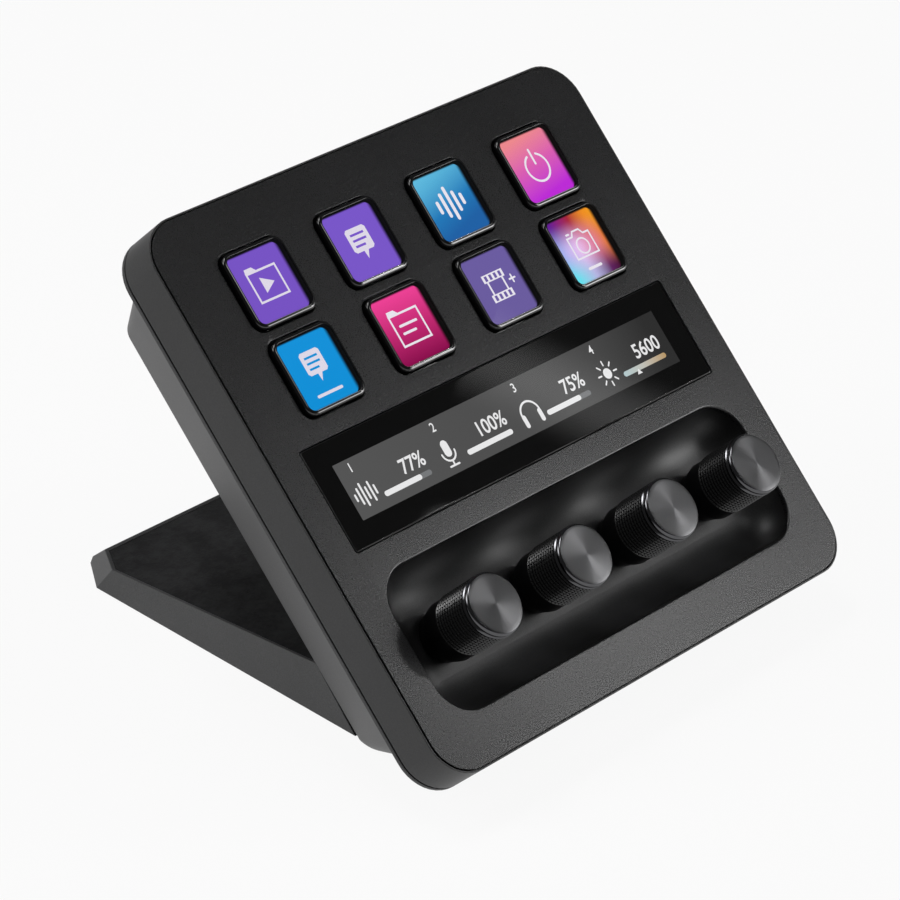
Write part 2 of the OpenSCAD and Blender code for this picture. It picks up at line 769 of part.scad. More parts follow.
module ribbon_cables() color("#b98a3a") on_face() {
    board_low = keys_v - key_block_h / 2;
    on_board = board_back - ribbon_t / 2;
    under_strip = web_top - display_t - ribbon_t / 2;
    under_dials = dial_board_back - ribbon_t / 2;
    on_port = port_z + board_t + ribbon_t / 2;
    ribbon([[strip_v + strip_view_h / 6, under_strip], [board_low - ribbon_bend, under_strip],
            [board_low - ribbon_bend * 0.3, on_board], [board_low + ribbon_lap, on_board]],
           strip_ribbon_x, strip_ribbon_w);
    ribbon([[trough_v + case_side / 4, under_dials], [trough_v + case_side, under_dials],
            [board_low - ribbon_bend * 0.4, on_board - ribbon_bend * 0.16],
            [board_low + ribbon_bend * 0.6, on_board], [board_low + ribbon_lap, on_board]],
           dial_ribbon_x, dial_ribbon_w);
    ribbon([[socket_v + port_board_h * 0.2, on_port], [socket_v + port_board_h * 0.9, on_port + ribbon_t * 3],
            [socket_v + port_board_h * 0.9, on_board - ribbon_bend * 0.6],
            [socket_v + port_board_h * 0.2, on_board], [socket_v - port_board_h * 0.3, on_board]],
           -port_ribbon_w / 2, port_ribbon_w);
}

// ---- fasteners ----

module board_screws() color("#c3c6c9") on_face() {
    at_board_bosses() translate([0, 0, board_back])
        screw(small_screw_r, small_head_r, small_head_h, small_screw_l);
    for (x = dial_post_x) translate([x, trough_v, dial_board_back])
        screw(small_screw_r, small_head_r, small_head_h, small_screw_l);
    for (sx = [-1, 1]) translate([sx * port_post_dx, socket_v, port_z + board_t]) mirror([0, 0, 1])
        screw(small_screw_r, small_head_r, small_head_h, small_screw_l);
}

module housing_screws() color("#c3c6c9") on_face() at_posts() translate([0, 0, post_floor])
    screw(large_screw_r, large_head_r, large_head_h, housing_screw_l);

module stand_screws() color("#c3c6c9") for (x = stand_screw_x)
    at_stand_screw(x) translate([0, 0, -wall])
        screw(large_screw_r, large_head_r, large_head_h, stand_screw_l + wall);

faceplate();
front_housing();
knob_tray();
rear_housing();
stand_body();
stand_inlay();
stand_weight();
stand_floor();
stand_foot();
for (i = [1:KEYS]) key_frame(i);
for (i = [1:KEYS]) key_lens(i);
key_guide();
key_mat();
key_display();
strip_glass();
strip_display();
for (i = [1:DIALS]) knob_sleeve(i);
for (i = [1:DIALS]) knob_cap(i);
for (i = [1:DIALS]) knob_shaft(i);
for (i = [1:DIALS]) encoder_rotor(i);
for (i = [1:DIALS]) encoder_case(i);
main_board();
dial_board();
port_board();
usb_socket();
ribbon_cables();
board_screws();
housing_screws();
stand_screws();
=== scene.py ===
import math

import bmesh
import bpy
import numpy as np
from mathutils import Euler, Matrix
from mathutils.geometry import tessellate_polygon


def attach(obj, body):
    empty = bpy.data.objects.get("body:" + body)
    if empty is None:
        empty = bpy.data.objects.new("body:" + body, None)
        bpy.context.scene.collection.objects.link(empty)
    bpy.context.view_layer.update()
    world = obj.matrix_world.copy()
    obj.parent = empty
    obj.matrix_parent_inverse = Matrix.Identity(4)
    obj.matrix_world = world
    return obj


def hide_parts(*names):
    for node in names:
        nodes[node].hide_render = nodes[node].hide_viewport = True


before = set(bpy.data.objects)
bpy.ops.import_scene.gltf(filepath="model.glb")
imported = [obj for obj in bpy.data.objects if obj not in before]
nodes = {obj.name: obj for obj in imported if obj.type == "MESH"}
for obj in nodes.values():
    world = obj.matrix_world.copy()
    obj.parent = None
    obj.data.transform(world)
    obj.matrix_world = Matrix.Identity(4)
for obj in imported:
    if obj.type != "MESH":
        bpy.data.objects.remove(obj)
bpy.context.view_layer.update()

# Front housing: the square moulded frame that carries everything, black ABS with a fine
# spark-eroded grain. Its lip stands round the faceplate, with a web under it that has the same
# openings; its side is 10.6 mm deep. All face sizes are millimetres on the sloping face, and an
# outline is given as its width, height and corner radius.
FACE_Y, FACE_Z = -21.094, 62.083
LEAN = math.sqrt(0.5)
PANEL = (140.0, 136.0, 10.0)
LIP, LIP_LEVEL, LIP_SOFT = 0.4, -0.25, 0.06
SIDE_SOFT, BACK_SOFT, WALL = 0.12, 0.2, 2.0
WEB_TOP, WEB_BACK, HOUSING_BACK = -1.2, -2.8, -10.6
KEY_X = [-44.7, -14.9, 14.9, 44.7]
KEY_V = [46.2, 24.6]
KEY_HOLE = (19.5, 19.5, 3.2)
STRIP_V, STRIP_BODY = -2.4, (112.5, 18.0, 0.5)
TROUGH_V, TROUGH = -38.8, (120.6, 35.2, 9.3)
TRAY_WALL, TRAY_GAP = 1.6, 0.2


def on_face(points):
    """Face millimetres (x, v, n) to metres: v and n turn by 45 degrees about X, then move to the face's
    middle."""
    p = np.asarray(points, float)
    y = FACE_Y + (p[:, 1] - p[:, 2]) * LEAN
    z = FACE_Z + (p[:, 1] + p[:, 2]) * LEAN
    return np.stack([p[:, 0], y, z], 1) / 1000


def rounded(w, h, r, n, cx=0.0, cv=0.0, steps=10):
    """Rounded rectangle at level n: four quarter circles of radius r about the corners of a box that is
    2r narrower and lower."""
    a = np.linspace(0, np.pi / 2, steps + 1)
    turn = (a[None, :] + np.arange(4)[:, None] * np.pi / 2).ravel()
    sx = np.repeat([1, -1, -1, 1], steps + 1) * (w / 2 - r)
    sv = np.repeat([1, 1, -1, -1], steps + 1) * (h / 2 - r)
    x, v = cx + sx + r * np.cos(turn), cv + sv + r * np.sin(turn)
    return np.stack([x, v, np.full(turn.size, float(n))], 1)


def circle(r, n, cx=0.0, cv=0.0, count=48):
    """Circle at level n: r times the cosine and sine of evenly spaced angles."""
    a = np.linspace(0, 2 * np.pi, count, endpoint=False)
    return np.stack([cx + r * np.cos(a), cv + r * np.sin(a), np.full(count, float(n))], 1)


def grown(outline, out):
    """Outline with each side moved out: twice as much more width and height, and as much more radius."""
    w, h, r = outline
    return w + 2 * out, h + 2 * out, r + out


def loft(rings):
    """Closed outlines joined in order: each ring's points meet the next ring's by a row of quads."""
    m = len(rings[0])
    i = np.arange(m)
    j = (i + 1) % m
    starts = m * np.arange(len(rings) - 1)
    rows = [np.stack([k + i, k + j, k + m + j, k + m + i], 1) for k in starts]
    return np.concatenate(rings), np.concatenate(rows)


def pierced(outer, *holes):
    """Flat face between an outline and the holes in it, as triangles."""
    loops = [outer, *holes]
    return np.concatenate(loops), np.array(tessellate_polygon([[tuple(p) for p in loop] for loop in loops]))


def eased(w, h, r, n, f, side=1, turn=1, cx=0.0, cv=0.0, steps=4):
    """Rings of a quarter round of radius f from the flat at level n to the wall: the outline is out by
    side * f * (1 - sin t) and the level goes by turn * f * (1 - cos t), t from 0 to 90 degrees."""
    out = []
    for t in np.linspace(0, np.pi / 2, steps + 1):
        o = side * f * (1 - math.sin(t))
        out.append(rounded(w + 2 * o, h + 2 * o, r + o, n - turn * f * (1 - math.cos(t)), cx, cv))
    return out


def mesh_of(name, parts, finish):
    """Mesh of (points, faces) parts in face millimetres: each part's faces count on from the last one's."""
    points, faces, start = [], [], 0
    for p, f in parts:
        points.append(on_face(p))
        faces += [[int(k) + start for k in face] for face in f]
        start += len(p)
    mesh = bpy.data.meshes.new(name)
    mesh.from_pydata(np.concatenate(points).tolist(), [], faces)
    mesh.materials.append(finish)
    return mesh


def shown(name, data):
    """A new object, linked to the scene."""
    obj = bpy.data.objects.new(name, data)
    bpy.context.scene.collection.objects.link(obj)
    return obj


def piece(name, parts, finish, body, *replaced, sharp=40, evened=True):
    """One object from parts: doubles merged, faces turned outwards, smooth but for edges over `sharp`
    degrees."""
    mesh = mesh_of(name, parts, finish)
    bm = bmesh.new()
    bm.from_mesh(mesh)
    bmesh.ops.remove_doubles(bm, verts=bm.verts, dist=2e-6)
    bmesh.ops.recalc_face_normals(bm, faces=bm.faces)
    bm.to_mesh(mesh)
    bm.free()
    mesh.shade_smooth()
    mesh.set_sharp_from_angle(angle=math.radians(sharp))
    obj = shown(name, mesh)
    if evened:
        obj.modifiers.new("even_shading", "WEIGHTED_NORMAL").keep_sharp = True
    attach(obj, body)
    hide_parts(*replaced)
    return obj


def feed(made, inputs):
    """Gives a node's inputs their values, or a link where the value is another node's output."""
    for key, value in inputs.items():
        if isinstance(value, bpy.types.NodeSocket):
            made.id_data.links.new(value, made.inputs[key])
        else:
            made.inputs[key].default_value = value


def node_maker(tree):
    """The function that makes shader nodes in a tree."""

    def node(kind, inputs=None, out=0, **settings):
        """Makes a node of a kind, feeds its inputs and gives one of its outputs."""
        made = tree.nodes.new("ShaderNode" + kind)
        for key, value in settings.items():
            setattr(made, key, value)
        feed(made, inputs or {})
        return made.outputs[out]

    return node


def new_finish(name):
    """A material with its Principled shader and a maker of nodes."""
    mat = bpy.data.materials.new(name)
    mat.use_nodes = True
    return mat, mat.node_tree.nodes["Principled BSDF"], node_maker(mat.node_tree)


def srgb(r, g, b):
    """Screen numbers from 0 to 255 to linear light: over 255, then the sRGB curve undone."""
    c = np.array([r, g, b]) / 255.0
    c = np.where(c <= 0.04045, c / 12.92, ((c + 0.055) / 1.055) ** 2.4)
    return (*[float(v) for v in c], 1.0)


def colour_ramp(node, value, stops):
    """Colour that runs through (position, screen numbers) stops as the value goes from 0 to 1."""
    ramp = node("ValToRGB", {"Fac": value})
    elements = ramp.node.color_ramp.elements
    while len(elements) < len(stops):
        elements.new(0.5)
    for element, (position, colour) in zip(elements, stops):
        element.position, element.color = position, srgb(*colour)
    return ramp


def noise(node, scale, detail, rough=0.5, place=None):
    """Noise with `scale` cells to a metre of the object's own space, or of the place given."""
    place = node("TexCoord", out="Object") if place is None else place
    return node("TexNoise", {"Vector": place, "Scale": scale, "Detail": detail, "Roughness": rough})


def ranged(node, value, low, high, start=0.0, end=1.0, way="LINEAR"):
    """Runs from low to high while the value runs from start to end."""
    ends = {"From Min": start, "From Max": end, "To Min": low, "To Max": high}
    return node("MapRange", {"Value": value, **ends}, interpolation_type=way)


def dented(node, height, depth, strength=1.0):
    """Normals of a surface that the height dents by `depth` mm."""
    return node("Bump", {"Height": height, "Distance": depth / 1000, "Strength": strength})


def moulded(name, dark, pale, rough, grain=0.3, depth=0.001, spread=0.003, specular=0.5, sparkle=0.1):
    """Moulded plastic: a fine noise of `grain` mm dents the surface by `depth` mm and varies its gloss, by
    `sparkle` of the whole, and its roughness, by `spread`; it and a slow noise mix the two colours."""
    mat, shader, node = new_finish(name)
    fine = noise(node, 1000 / grain, 2.0, 0.6)
    both = node("Math", {0: fine, 1: noise(node, 35.0, 4.0)}, operation="MULTIPLY")
    gloss = ranged(node, fine, specular * (1 - sparkle), specular * (1 + sparkle), 0.3, 0.7)
    feed(shader, {"Base Color": colour_ramp(node, both, [(0.12, dark), (0.42, pale)]),
                  "Roughness": ranged(node, fine, rough - spread, rough + spread, 0.3, 0.7),
                  "Specular IOR Level": gloss, "Normal": dented(node, fine, depth)})
    return mat


housing_black = moulded("housing_black", (35, 35, 36), (49, 49, 50), 0.46)

key_holes = [(x, v) for v in KEY_V for x in KEY_X]
inside, cavity = grown(PANEL, -LIP), grown(PANEL, -WALL)
shell = [rounded(*inside, WEB_TOP)]
shell += eased(*inside, LIP_LEVEL, LIP_SOFT)[::-1]
shell += eased(*PANEL, LIP_LEVEL, SIDE_SOFT, -1)
shell += eased(*PANEL, HOUSING_BACK, BACK_SOFT, -1, -1)[::-1]
shell += [rounded(*cavity, HOUSING_BACK), rounded(*cavity, WEB_BACK)]


def web_holes(n):
    """Outlines of the web's openings at level n: eight keys, the strip's body and the dial tray."""
    holes = [rounded(*KEY_HOLE, n, x, v) for x, v in key_holes]
    tray = grown(TROUGH, TRAY_WALL + TRAY_GAP)
    return [*holes, rounded(*STRIP_BODY, n, 0, STRIP_V), rounded(*tray, n, 0, TROUGH_V)]


parts = [loft(shell), pierced(shell[0], *web_holes(WEB_TOP)), pierced(shell[-1], *web_holes(WEB_BACK))]
parts += [loft([a, b]) for a, b in zip(web_holes(WEB_TOP), web_holes(WEB_BACK))]
front_shell = piece("front_shell", parts, housing_black, "chassis", "front_housing")

# Faceplate: a 1.2 mm sheet of the same black plastic, laid in the lip with a hairline groove round it.
# Its key and glass openings have softened edges, and its edge rolls down into the dial trough, where
# it tucks in a little way to meet the tray.
GROOVE, PLATE_SOFT, HOLE_SOFT, ROLL, TUCK = 0.3, 0.06, 0.2, 0.45, 0.09
STRIP, STRIP_GAP = (121.4, 24.6, 0.6), 0.3
face_black = moulded("face_black", (20, 20, 21), (34, 34, 35), 0.275, depth=0.0002, sparkle=0.06)

sheet_outline, strip_hole = grown(inside, -GROOVE), grown(STRIP, STRIP_GAP)
edge = eased(*sheet_outline, 0, PLATE_SOFT, -1)
underside = [rounded(*sheet_outline, WEB_TOP)]
openings = [eased(*KEY_HOLE, 0, HOLE_SOFT, 1, 1, x, v) for x, v in key_holes]
openings.append(eased(*strip_hole, 0, PLATE_SOFT, 1, 1, 0, STRIP_V))
openings.append(eased(*TROUGH, 0, ROLL, 1, 1, 0, TROUGH_V, 6))
lower = [rounded(*KEY_HOLE, WEB_TOP, x, v) for x, v in key_holes]
lower.append(rounded(*strip_hole, WEB_TOP, 0, STRIP_V))
lower.append(rounded(*grown(TROUGH, -TUCK), WEB_TOP, 0, TROUGH_V))
parts = [pierced(edge[0], *[o[0] for o in openings]), loft(edge + underside), pierced(underside[0], *lower)]
parts += [loft(o + [b]) for o, b in zip(openings, lower)]
face_sheet = piece("face_sheet", parts, face_black, "chassis", "faceplate")

# Dial tray: the finger trough behind the lower opening, moulded with walls that sweep round into a
# flat floor. Four holes in the floor hold the bushings of the dials' encoders, a flange meets the web
# from behind, and three posts under the floor carry the dial board.
tray_black = moulded("tray_black", (20, 20, 21), (34, 34, 35), 0.45, specular=0.6)
TROUGH_D = 8.7
DIAL_X = [-45.0, -15.0, 15.0, 45.0]
BUSHING_R = 3.5
FLANGE_FROM, FLANGE_TO, FLANGE_T = 1.2, 2.8, 1.4
POST_X, POST_R, POST_END = (-30.0, 0.0, 30.0), 2.4, -16.3
PILOT_R, PILOT_END, POST_SUNK = 1.0, -12.0, 0.4


def bowl(wall, steps=14):
    """Rings of the trough's tub: the outline goes in by r - r cos t while the level sinks by d sin t, t from
    the web's top to 90 degrees. The wall's outer side is the same curve, wall further out."""
    rings = []
    for t in np.linspace(math.asin(-WEB_TOP / TROUGH_D), np.pi / 2 * 0.999, steps + 1):
        o = (TROUGH[2] + wall) * (1 - math.cos(t))
        rings.append(rounded(*grown(TROUGH, wall - o), -(TROUGH_D + wall) * math.sin(t), 0, TROUGH_V))
    return rings


inner, outer = bowl(0), bowl(TRAY_WALL)
floor_n, under_n = inner[-1][0, 2], outer[-1][0, 2]
bores = [circle(BUSHING_R, floor_n, x, TROUGH_V) for x in DIAL_X]
bores_low = [circle(BUSHING_R, under_n, x, TROUGH_V) for x in DIAL_X]
parts = [loft(inner), loft(outer), loft([inner[0], outer[0]])]
parts += [pierced(inner[-1], *bores), pierced(outer[-1], *bores_low)]
parts += [loft([a, b]) for a, b in zip(bores, bores_low)]
flange = [rounded(*grown(TROUGH, o), n, 0, TROUGH_V)
          for o, n in ((FLANGE_TO, WEB_BACK), (FLANGE_TO, WEB_BACK - FLANGE_T),
                       (FLANGE_FROM, WEB_BACK - FLANGE_T), (FLANGE_FROM, WEB_BACK))]
parts.append(loft(flange + flange[:1]))
post = ((POST_R, under_n + POST_SUNK), (POST_R, POST_END), (PILOT_R, POST_END), (PILOT_R, PILOT_END))
parts += [loft([circle(r, n, x, TROUGH_V) for r, n in post]) for x in POST_X]
dial_tray = piece("dial_tray", parts, tray_black, "chassis", "knob_tray", sharp=50)

# Rear housing: the deep black shell behind the panel. A thin rim meets the front housing in a
# shadow groove, then the block behind it leans in to a flat back with four sunk screws and the
# socket's slot; it is cut level where it comes down to the table.
# The rear shell's black is a lighter copy of the housing's plastic: painted light for its sides turned to
# the left and up.
rear_black_painted_light = moulded("rear_black_painted_light", (52, 52, 53), (71, 71, 72), 0.48)
RIM_BACK, BACK, LIFT = -12.2, -39.0, 0.4
SEAM, SEAM_IN, RIM_FRONT_SOFT, RIM_BACK_SOFT = 0.4, 0.5, 0.1, 0.4
STEP_SIDE, STEP_TOP, STEP_BOTTOM, STEP_R = 2.6, 6.0, 8.0, 6.0
LEAN_SIDE, LEAN_TOP, LEAN_BOTTOM, LEAN_R = 13.4, 4.5, 7.5, 2.0
COVE, BACK_ROUND = 2.0, 0.8
POSTS = [(x, v) for x in (-40.0, 40.0) for v in (-14.8, 9.9)]
WELL_R, WELL_DEPTH, WELL_HOLE_R = 3.0, 22.8, 1.71
SLOT, SLOT_V, SLOT_DEPTH = (9.4, 3.7, 1.84), 40.0, 2.0


def block_ring(t, n, inset=0.0):
    """Outline of the rear block, t from 0 at the rim to 1 at the back: each side moves in by its step and
    by its lean times t."""
    w, h = PANEL[:2]
    w -= 2 * (STEP_SIDE + LEAN_SIDE * t + inset)
    top = h / 2 - STEP_TOP - LEAN_TOP * t - inset
    bottom = -h / 2 + STEP_BOTTOM + LEAN_BOTTOM * t + inset
    return rounded(w, top - bottom, STEP_R - LEAN_R * t - inset * 0.5, n, 0, (top + bottom) / 2)


def trim(bm, point, normal):
    """Cuts away what lies beyond the plane through point, and closes the cut."""
    cut = bmesh.ops.bisect_plane(bm, geom=bm.verts[:] + bm.edges[:] + bm.faces[:], dist=1e-7,
                                 plane_co=point, plane_no=normal, clear_outer=True)
    bmesh.ops.contextual_create(bm, geom=[e for e in cut["geom_cut"] if isinstance(e, bmesh.types.BMEdge)])


block_depth = RIM_BACK - BACK
rim = [rounded(*grown(PANEL, -SEAM_IN), n) for n in (HOUSING_BACK, HOUSING_BACK - SEAM)]
rim += eased(*PANEL, HOUSING_BACK - SEAM, RIM_FRONT_SOFT, -1, steps=2)
rim += eased(*PANEL, RIM_BACK, RIM_BACK_SOFT, -1, -1)[::-1]
for a in np.linspace(0, np.pi / 2, 7):
    sunk = COVE * (1 - math.cos(a))
    rim.append(block_ring(sunk / block_depth, RIM_BACK - sunk, -COVE * (1 - math.sin(a))))
rim += [block_ring(t, RIM_BACK - block_depth * t) for t in np.linspace(0.12, 0.96, 12)]
for a in np.linspace(0.2, np.pi / 2, 5):
    short = BACK_ROUND * (1 - math.sin(a))
    rim.append(block_ring(1 - short / block_depth, BACK + short, BACK_ROUND * (1 - math.cos(a))))
wells = [circle(WELL_R, BACK, x, v) for x, v in POSTS]
slot_ring = rounded(*SLOT, BACK, 0, SLOT_V)
parts = [loft(rim), pierced(rim[-1], slot_ring, *wells), loft([slot_ring, slot_ring + [0, 0, SLOT_DEPTH]])]
for well, (x, v) in zip(wells, POSTS):
    parts.append(loft([well, well + [0, 0, WELL_DEPTH], circle(WELL_HOLE_R, BACK + WELL_DEPTH, x, v)]))
rear_shell = piece("rear_shell", parts, rear_black_painted_light, "chassis", "rear_housing", sharp=50)
bm = bmesh.new()
bm.from_mesh(rear_shell.data)
trim(bm, (0, 0, LIFT / 1000), (0, 0, -1))
bm.to_mesh(rear_shell.data)
bm.free()

# Stand: a low wedge screwed to the panel's back, moulded in the same plastic, with cut back corners
# and a bevel across its end. Its colour is a lighter copy of the housing's black: painted light for its
# sides turned to the left and up. A soft dark pad is let into its top; below, a floor plate closes it over
# a steel weight and carries the rubber foot.
stand_black_painted_light = moulded("stand_black_painted_light", (53, 53, 54), (73, 73, 74), 0.5)
BACK_Y, JOIN_Y, JOIN_Z = -28.023, -14.623, 13.4
TOP_Y, TOP_Z, END_Y, END_HALF, BEVEL_FALL = 63.0, 7.0, 69.0, 49.0, 5.1
SLOPE = (JOIN_Z - TOP_Z) / (JOIN_Y - TOP_Y)
TAPER = 5.0 / (END_Y - BACK_Y - LIFT)
CUT, CUT_TURN, CUT_LEAN = 11.2, math.radians(37), math.radians(23)
STAND_SEAM, STAND_SOFT, STAND_SIDE, STAND_ROOF, STAND_FRONT = 0.5, 0.35, 2.4, 2.8, 3.0
PAD_EDGE, PAD_GAP, PAD_DEPTH, PAD_SUNK, PAD_BED, PAD_SOFT = 0.8, 0.07, 1.0, 0.08, 0.02, 0.15
BEYOND = 5.0


def plane(normal, point, inset):
    """A plane as its unit normal and distance, moved in by inset: the solid keeps what lies behind it."""
    n = np.array(normal, float) / np.linalg.norm(normal)
    return n, float(n @ np.array(point, float)) - inset


def other_side(face):
    """The same plane, turned to keep what lies in front of it."""
    n, d = face
    return -n, -d


def wedge(side, drop, front, low):
    """The stand's faces as planes: the sides, end and cuts moved in by side, the top by drop and the face
    at the panel by front, down to the height low."""
    cut_y = TOP_Y - CUT * math.cos(CUT_TURN)
    cut_x, cut_z = END_HALF + TAPER * (END_Y - cut_y), TOP_Z + SLOPE * (cut_y - TOP_Y)
    out_x, out_y = math.cos(CUT_LEAN) * math.cos(CUT_TURN), math.cos(CUT_LEAN) * math.sin(CUT_TURN)
    faces = {"front": plane((0, -1, 1), (0, BACK_Y, 0), front),
             "top": plane((0, -SLOPE, 1), (0, TOP_Y, TOP_Z), drop),
             "bevel": plane((0, BEVEL_FALL, END_Y - TOP_Y), (0, TOP_Y, TOP_Z), side),
             "end": plane((0, 1, 0), (0, END_Y, 0), side),
             "bottom": plane((0, 0, -1), (0, 0, low), 0)}
    for s in (1, -1):
        faces[f"side_{s}"] = plane((s, TAPER, 0), (s * END_HALF, END_Y, 0), side)
        faces[f"cut_{s}"] = plane((s * out_x, out_y, math.sin(CUT_LEAN)), (s * cut_x, cut_y, cut_z), side)
    return faces


def solid(name, faces):
    """Convex solid behind all the faces: a large cube is cut by each plane and the cut is closed."""
    bm = bmesh.new()
    bmesh.ops.create_cube(bm, size=0.6)
    for n, d in faces.values():
        trim(bm, tuple(n * d / 1000), tuple(n))
    bmesh.ops.recalc_face_normals(bm, faces=bm.faces)
    mesh = bpy.data.meshes.new(name)
    bm.to_mesh(mesh)
    bm.free()
    return shown(name, mesh)


def softened(obj, width, segments=3, angle=25):
    """Rounds edges sharper than `angle` degrees by width mm and evens the shading."""
    bevel = obj.modifiers.new("soft_edges", "BEVEL")
    bevel.width, bevel.segments, bevel.limit_method = width / 1000, segments, "ANGLE"
    bevel.angle_limit = math.radians(angle)
    bevel.use_clamp_overlap = True
    obj.modifiers.new("even_shading", "WEIGHTED_NORMAL").keep_sharp = True
    obj.data.shade_smooth()


def carve(obj, *cutters):
    """Takes the cutters out of obj for good and deletes them."""
    for cutter in cutters:
        hole = obj.modifiers.new("cut", "BOOLEAN")
        hole.operation, hole.solver, hole.object = "DIFFERENCE", "EXACT", cutter
    done = bpy.data.meshes.new_from_object(obj.evaluated_get(bpy.context.evaluated_depsgraph_get()))
    obj.modifiers.clear()
    obj.data = done
    for cutter in cutters:
        bpy.data.objects.remove(cutter)


pad_room = wedge(PAD_EDGE, -BEYOND, -BEYOND, LIFT)
pad_room["bottom"] = other_side(wedge(0, PAD_DEPTH, 0, 0)["top"])
stand_shell = solid("stand_shell", wedge(0, 0, STAND_SEAM, LIFT))
carve(stand_shell, solid("pad_room", pad_room),
      solid("hollow", wedge(STAND_SIDE, STAND_ROOF, STAND_FRONT, -BEYOND)))
stand_shell.data.materials.clear()
stand_shell.data.materials.append(stand_black_painted_light)
softened(stand_shell, STAND_SOFT)
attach(stand_shell, "chassis")
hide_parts("stand_body")


def soft_touch(name, dark, pale):
    """Leather-like soft sheet: a pebble of small cells and a finer noise dent it, and a slow, blotchy noise
    mixes its two colours."""
    mat, shader, node = new_finish(name)
    cells = node("TexVoronoi", {"Vector": node("TexCoord", out="Object"), "Scale": 1500.0}, feature="F1")
    pebble = node("Math", {0: cells, 1: noise(node, 4000.0, 3.0)}, operation="ADD")
    slow = noise(node, 90.0, 5.0, 0.85)
    feed(shader, {"Base Color": colour_ramp(node, slow, [(0.4, dark), (0.6, pale)]),
                  "Normal": dented(node, pebble, 0.05, 0.8), "Roughness": 0.8, "Specular IOR Level": 0.3})
    return mat


pad = wedge(PAD_EDGE + PAD_GAP, PAD_SUNK, STAND_SEAM, LIFT)
pad["bottom"] = other_side(wedge(0, PAD_DEPTH - PAD_BED, 0, 0)["top"])
stand_pad = solid("stand_pad", pad)
stand_pad.data.materials.append(soft_touch("pad_black", (27, 27, 28), (46, 46, 47)))
softened(stand_pad, PAD_SOFT)
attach(stand_pad, "chassis")
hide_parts("stand_inlay")


def dress(finish, *names):
    """Gives CAD nodes that stay in view their finish."""
    for name in names:
        mesh = nodes[name].data
        mesh.materials.clear()
        mesh.materials.append(finish)


def metal(name, colour, rough, scale=900.0, depth=0.004):
    """Metal: a noise dents it by `depth` mm and varies its roughness by 30 % both ways."""
    mat, shader, node = new_finish(name)
    grain = noise(node, scale, 4.0)
    feed(shader, {"Base Color": colour, "Metallic": 1.0, "Normal": dented(node, grain, depth),
                  "Roughness": ranged(node, grain, rough * 0.7, rough * 1.3)})
    return mat


rubber = moulded("foot_rubber", (14, 14, 14), (24, 24, 25), 0.78, grain=0.6, depth=0.03, specular=0.25)
dress(moulded("floor_black", (26, 26, 27), (38, 38, 39), 0.55), "stand_floor")
dress(rubber, "stand_foot")
dress(metal("weight_steel", (0.45, 0.46, 0.47, 1), 0.4), "stand_weight")

# Screen keys: eight caps, each a glossy black rim that stands 1.4 mm out of the face, tapered and
# rounded over, with a clear acrylic block set in it on a ledge. Below the face a flange keeps the cap in.
FLANGE, FLANGE_TOP, KEY_LOW = (20.1, 20.1, 3.2), -3.05, -4.4
BASE, TOP, KEY_TOP = (18.7, 18.7, 2.8), (18.5, 18.5, 2.7), 1.4
WINDOW, WINDOW_SOFT = (17.0, 17.0, 2.0), 0.06
CROWN_W, CROWN_H = (TOP[0] - WINDOW[0]) / 2 - WINDOW_SOFT, 0.55
LEDGE, LEDGE_LEVEL = (15.9, 15.9, 1.6), -1.05
BLOCK_LOW, BLOCK_TOP, BLOCK_GAP, BLOCK_SOFT = -1.0, 1.28, 0.03, 0.2

key_black, rim_shader, rim_node = new_finish("key_black")
rim_noise = noise(rim_node, 300.0, 3.0)
feed(rim_shader, {"Base Color": srgb(5, 5, 6), "Specular IOR Level": 0.75,
                  "Roughness": ranged(rim_node, rim_noise, 0.04, 0.09),
                  "Normal": dented(rim_node, rim_noise, 0.01, 0.5)})


def closed(rings):
    """Parts of a solid: its rings joined, with a flat face at both ends."""
    return [loft(rings), pierced(rings[0]), pierced(rings[-1])]


def clear(name, ior, haze, scale, detail):
    """Clear solid: a noise gives it a roughness between 0 and `haze`."""
    mat, shader, node = new_finish(name)
    feed(shader, {"Roughness": ranged(node, noise(node, scale, detail), 0.0, haze),
                  "Transmission Weight": 1.0, "IOR": ior})
    return mat


def facing(face):
    """How far a mesh's face looks out along the panel's own normal: 1 straight out, 0 across it."""
    return (face.normal.z - face.normal.y) * LEAN


def black_sides(obj, *finishes):
    """Two more materials by slope: the first on the faces that stand across the panel, the second on the
    bevel between them and the flat ones."""
    for finish in finishes:
        obj.data.materials.append(finish)
    for face in obj.data.polygons:
        flat = abs(facing(face))
        face.material_index = 1 if flat < 0.354 else 2 if flat < 0.99 else 0


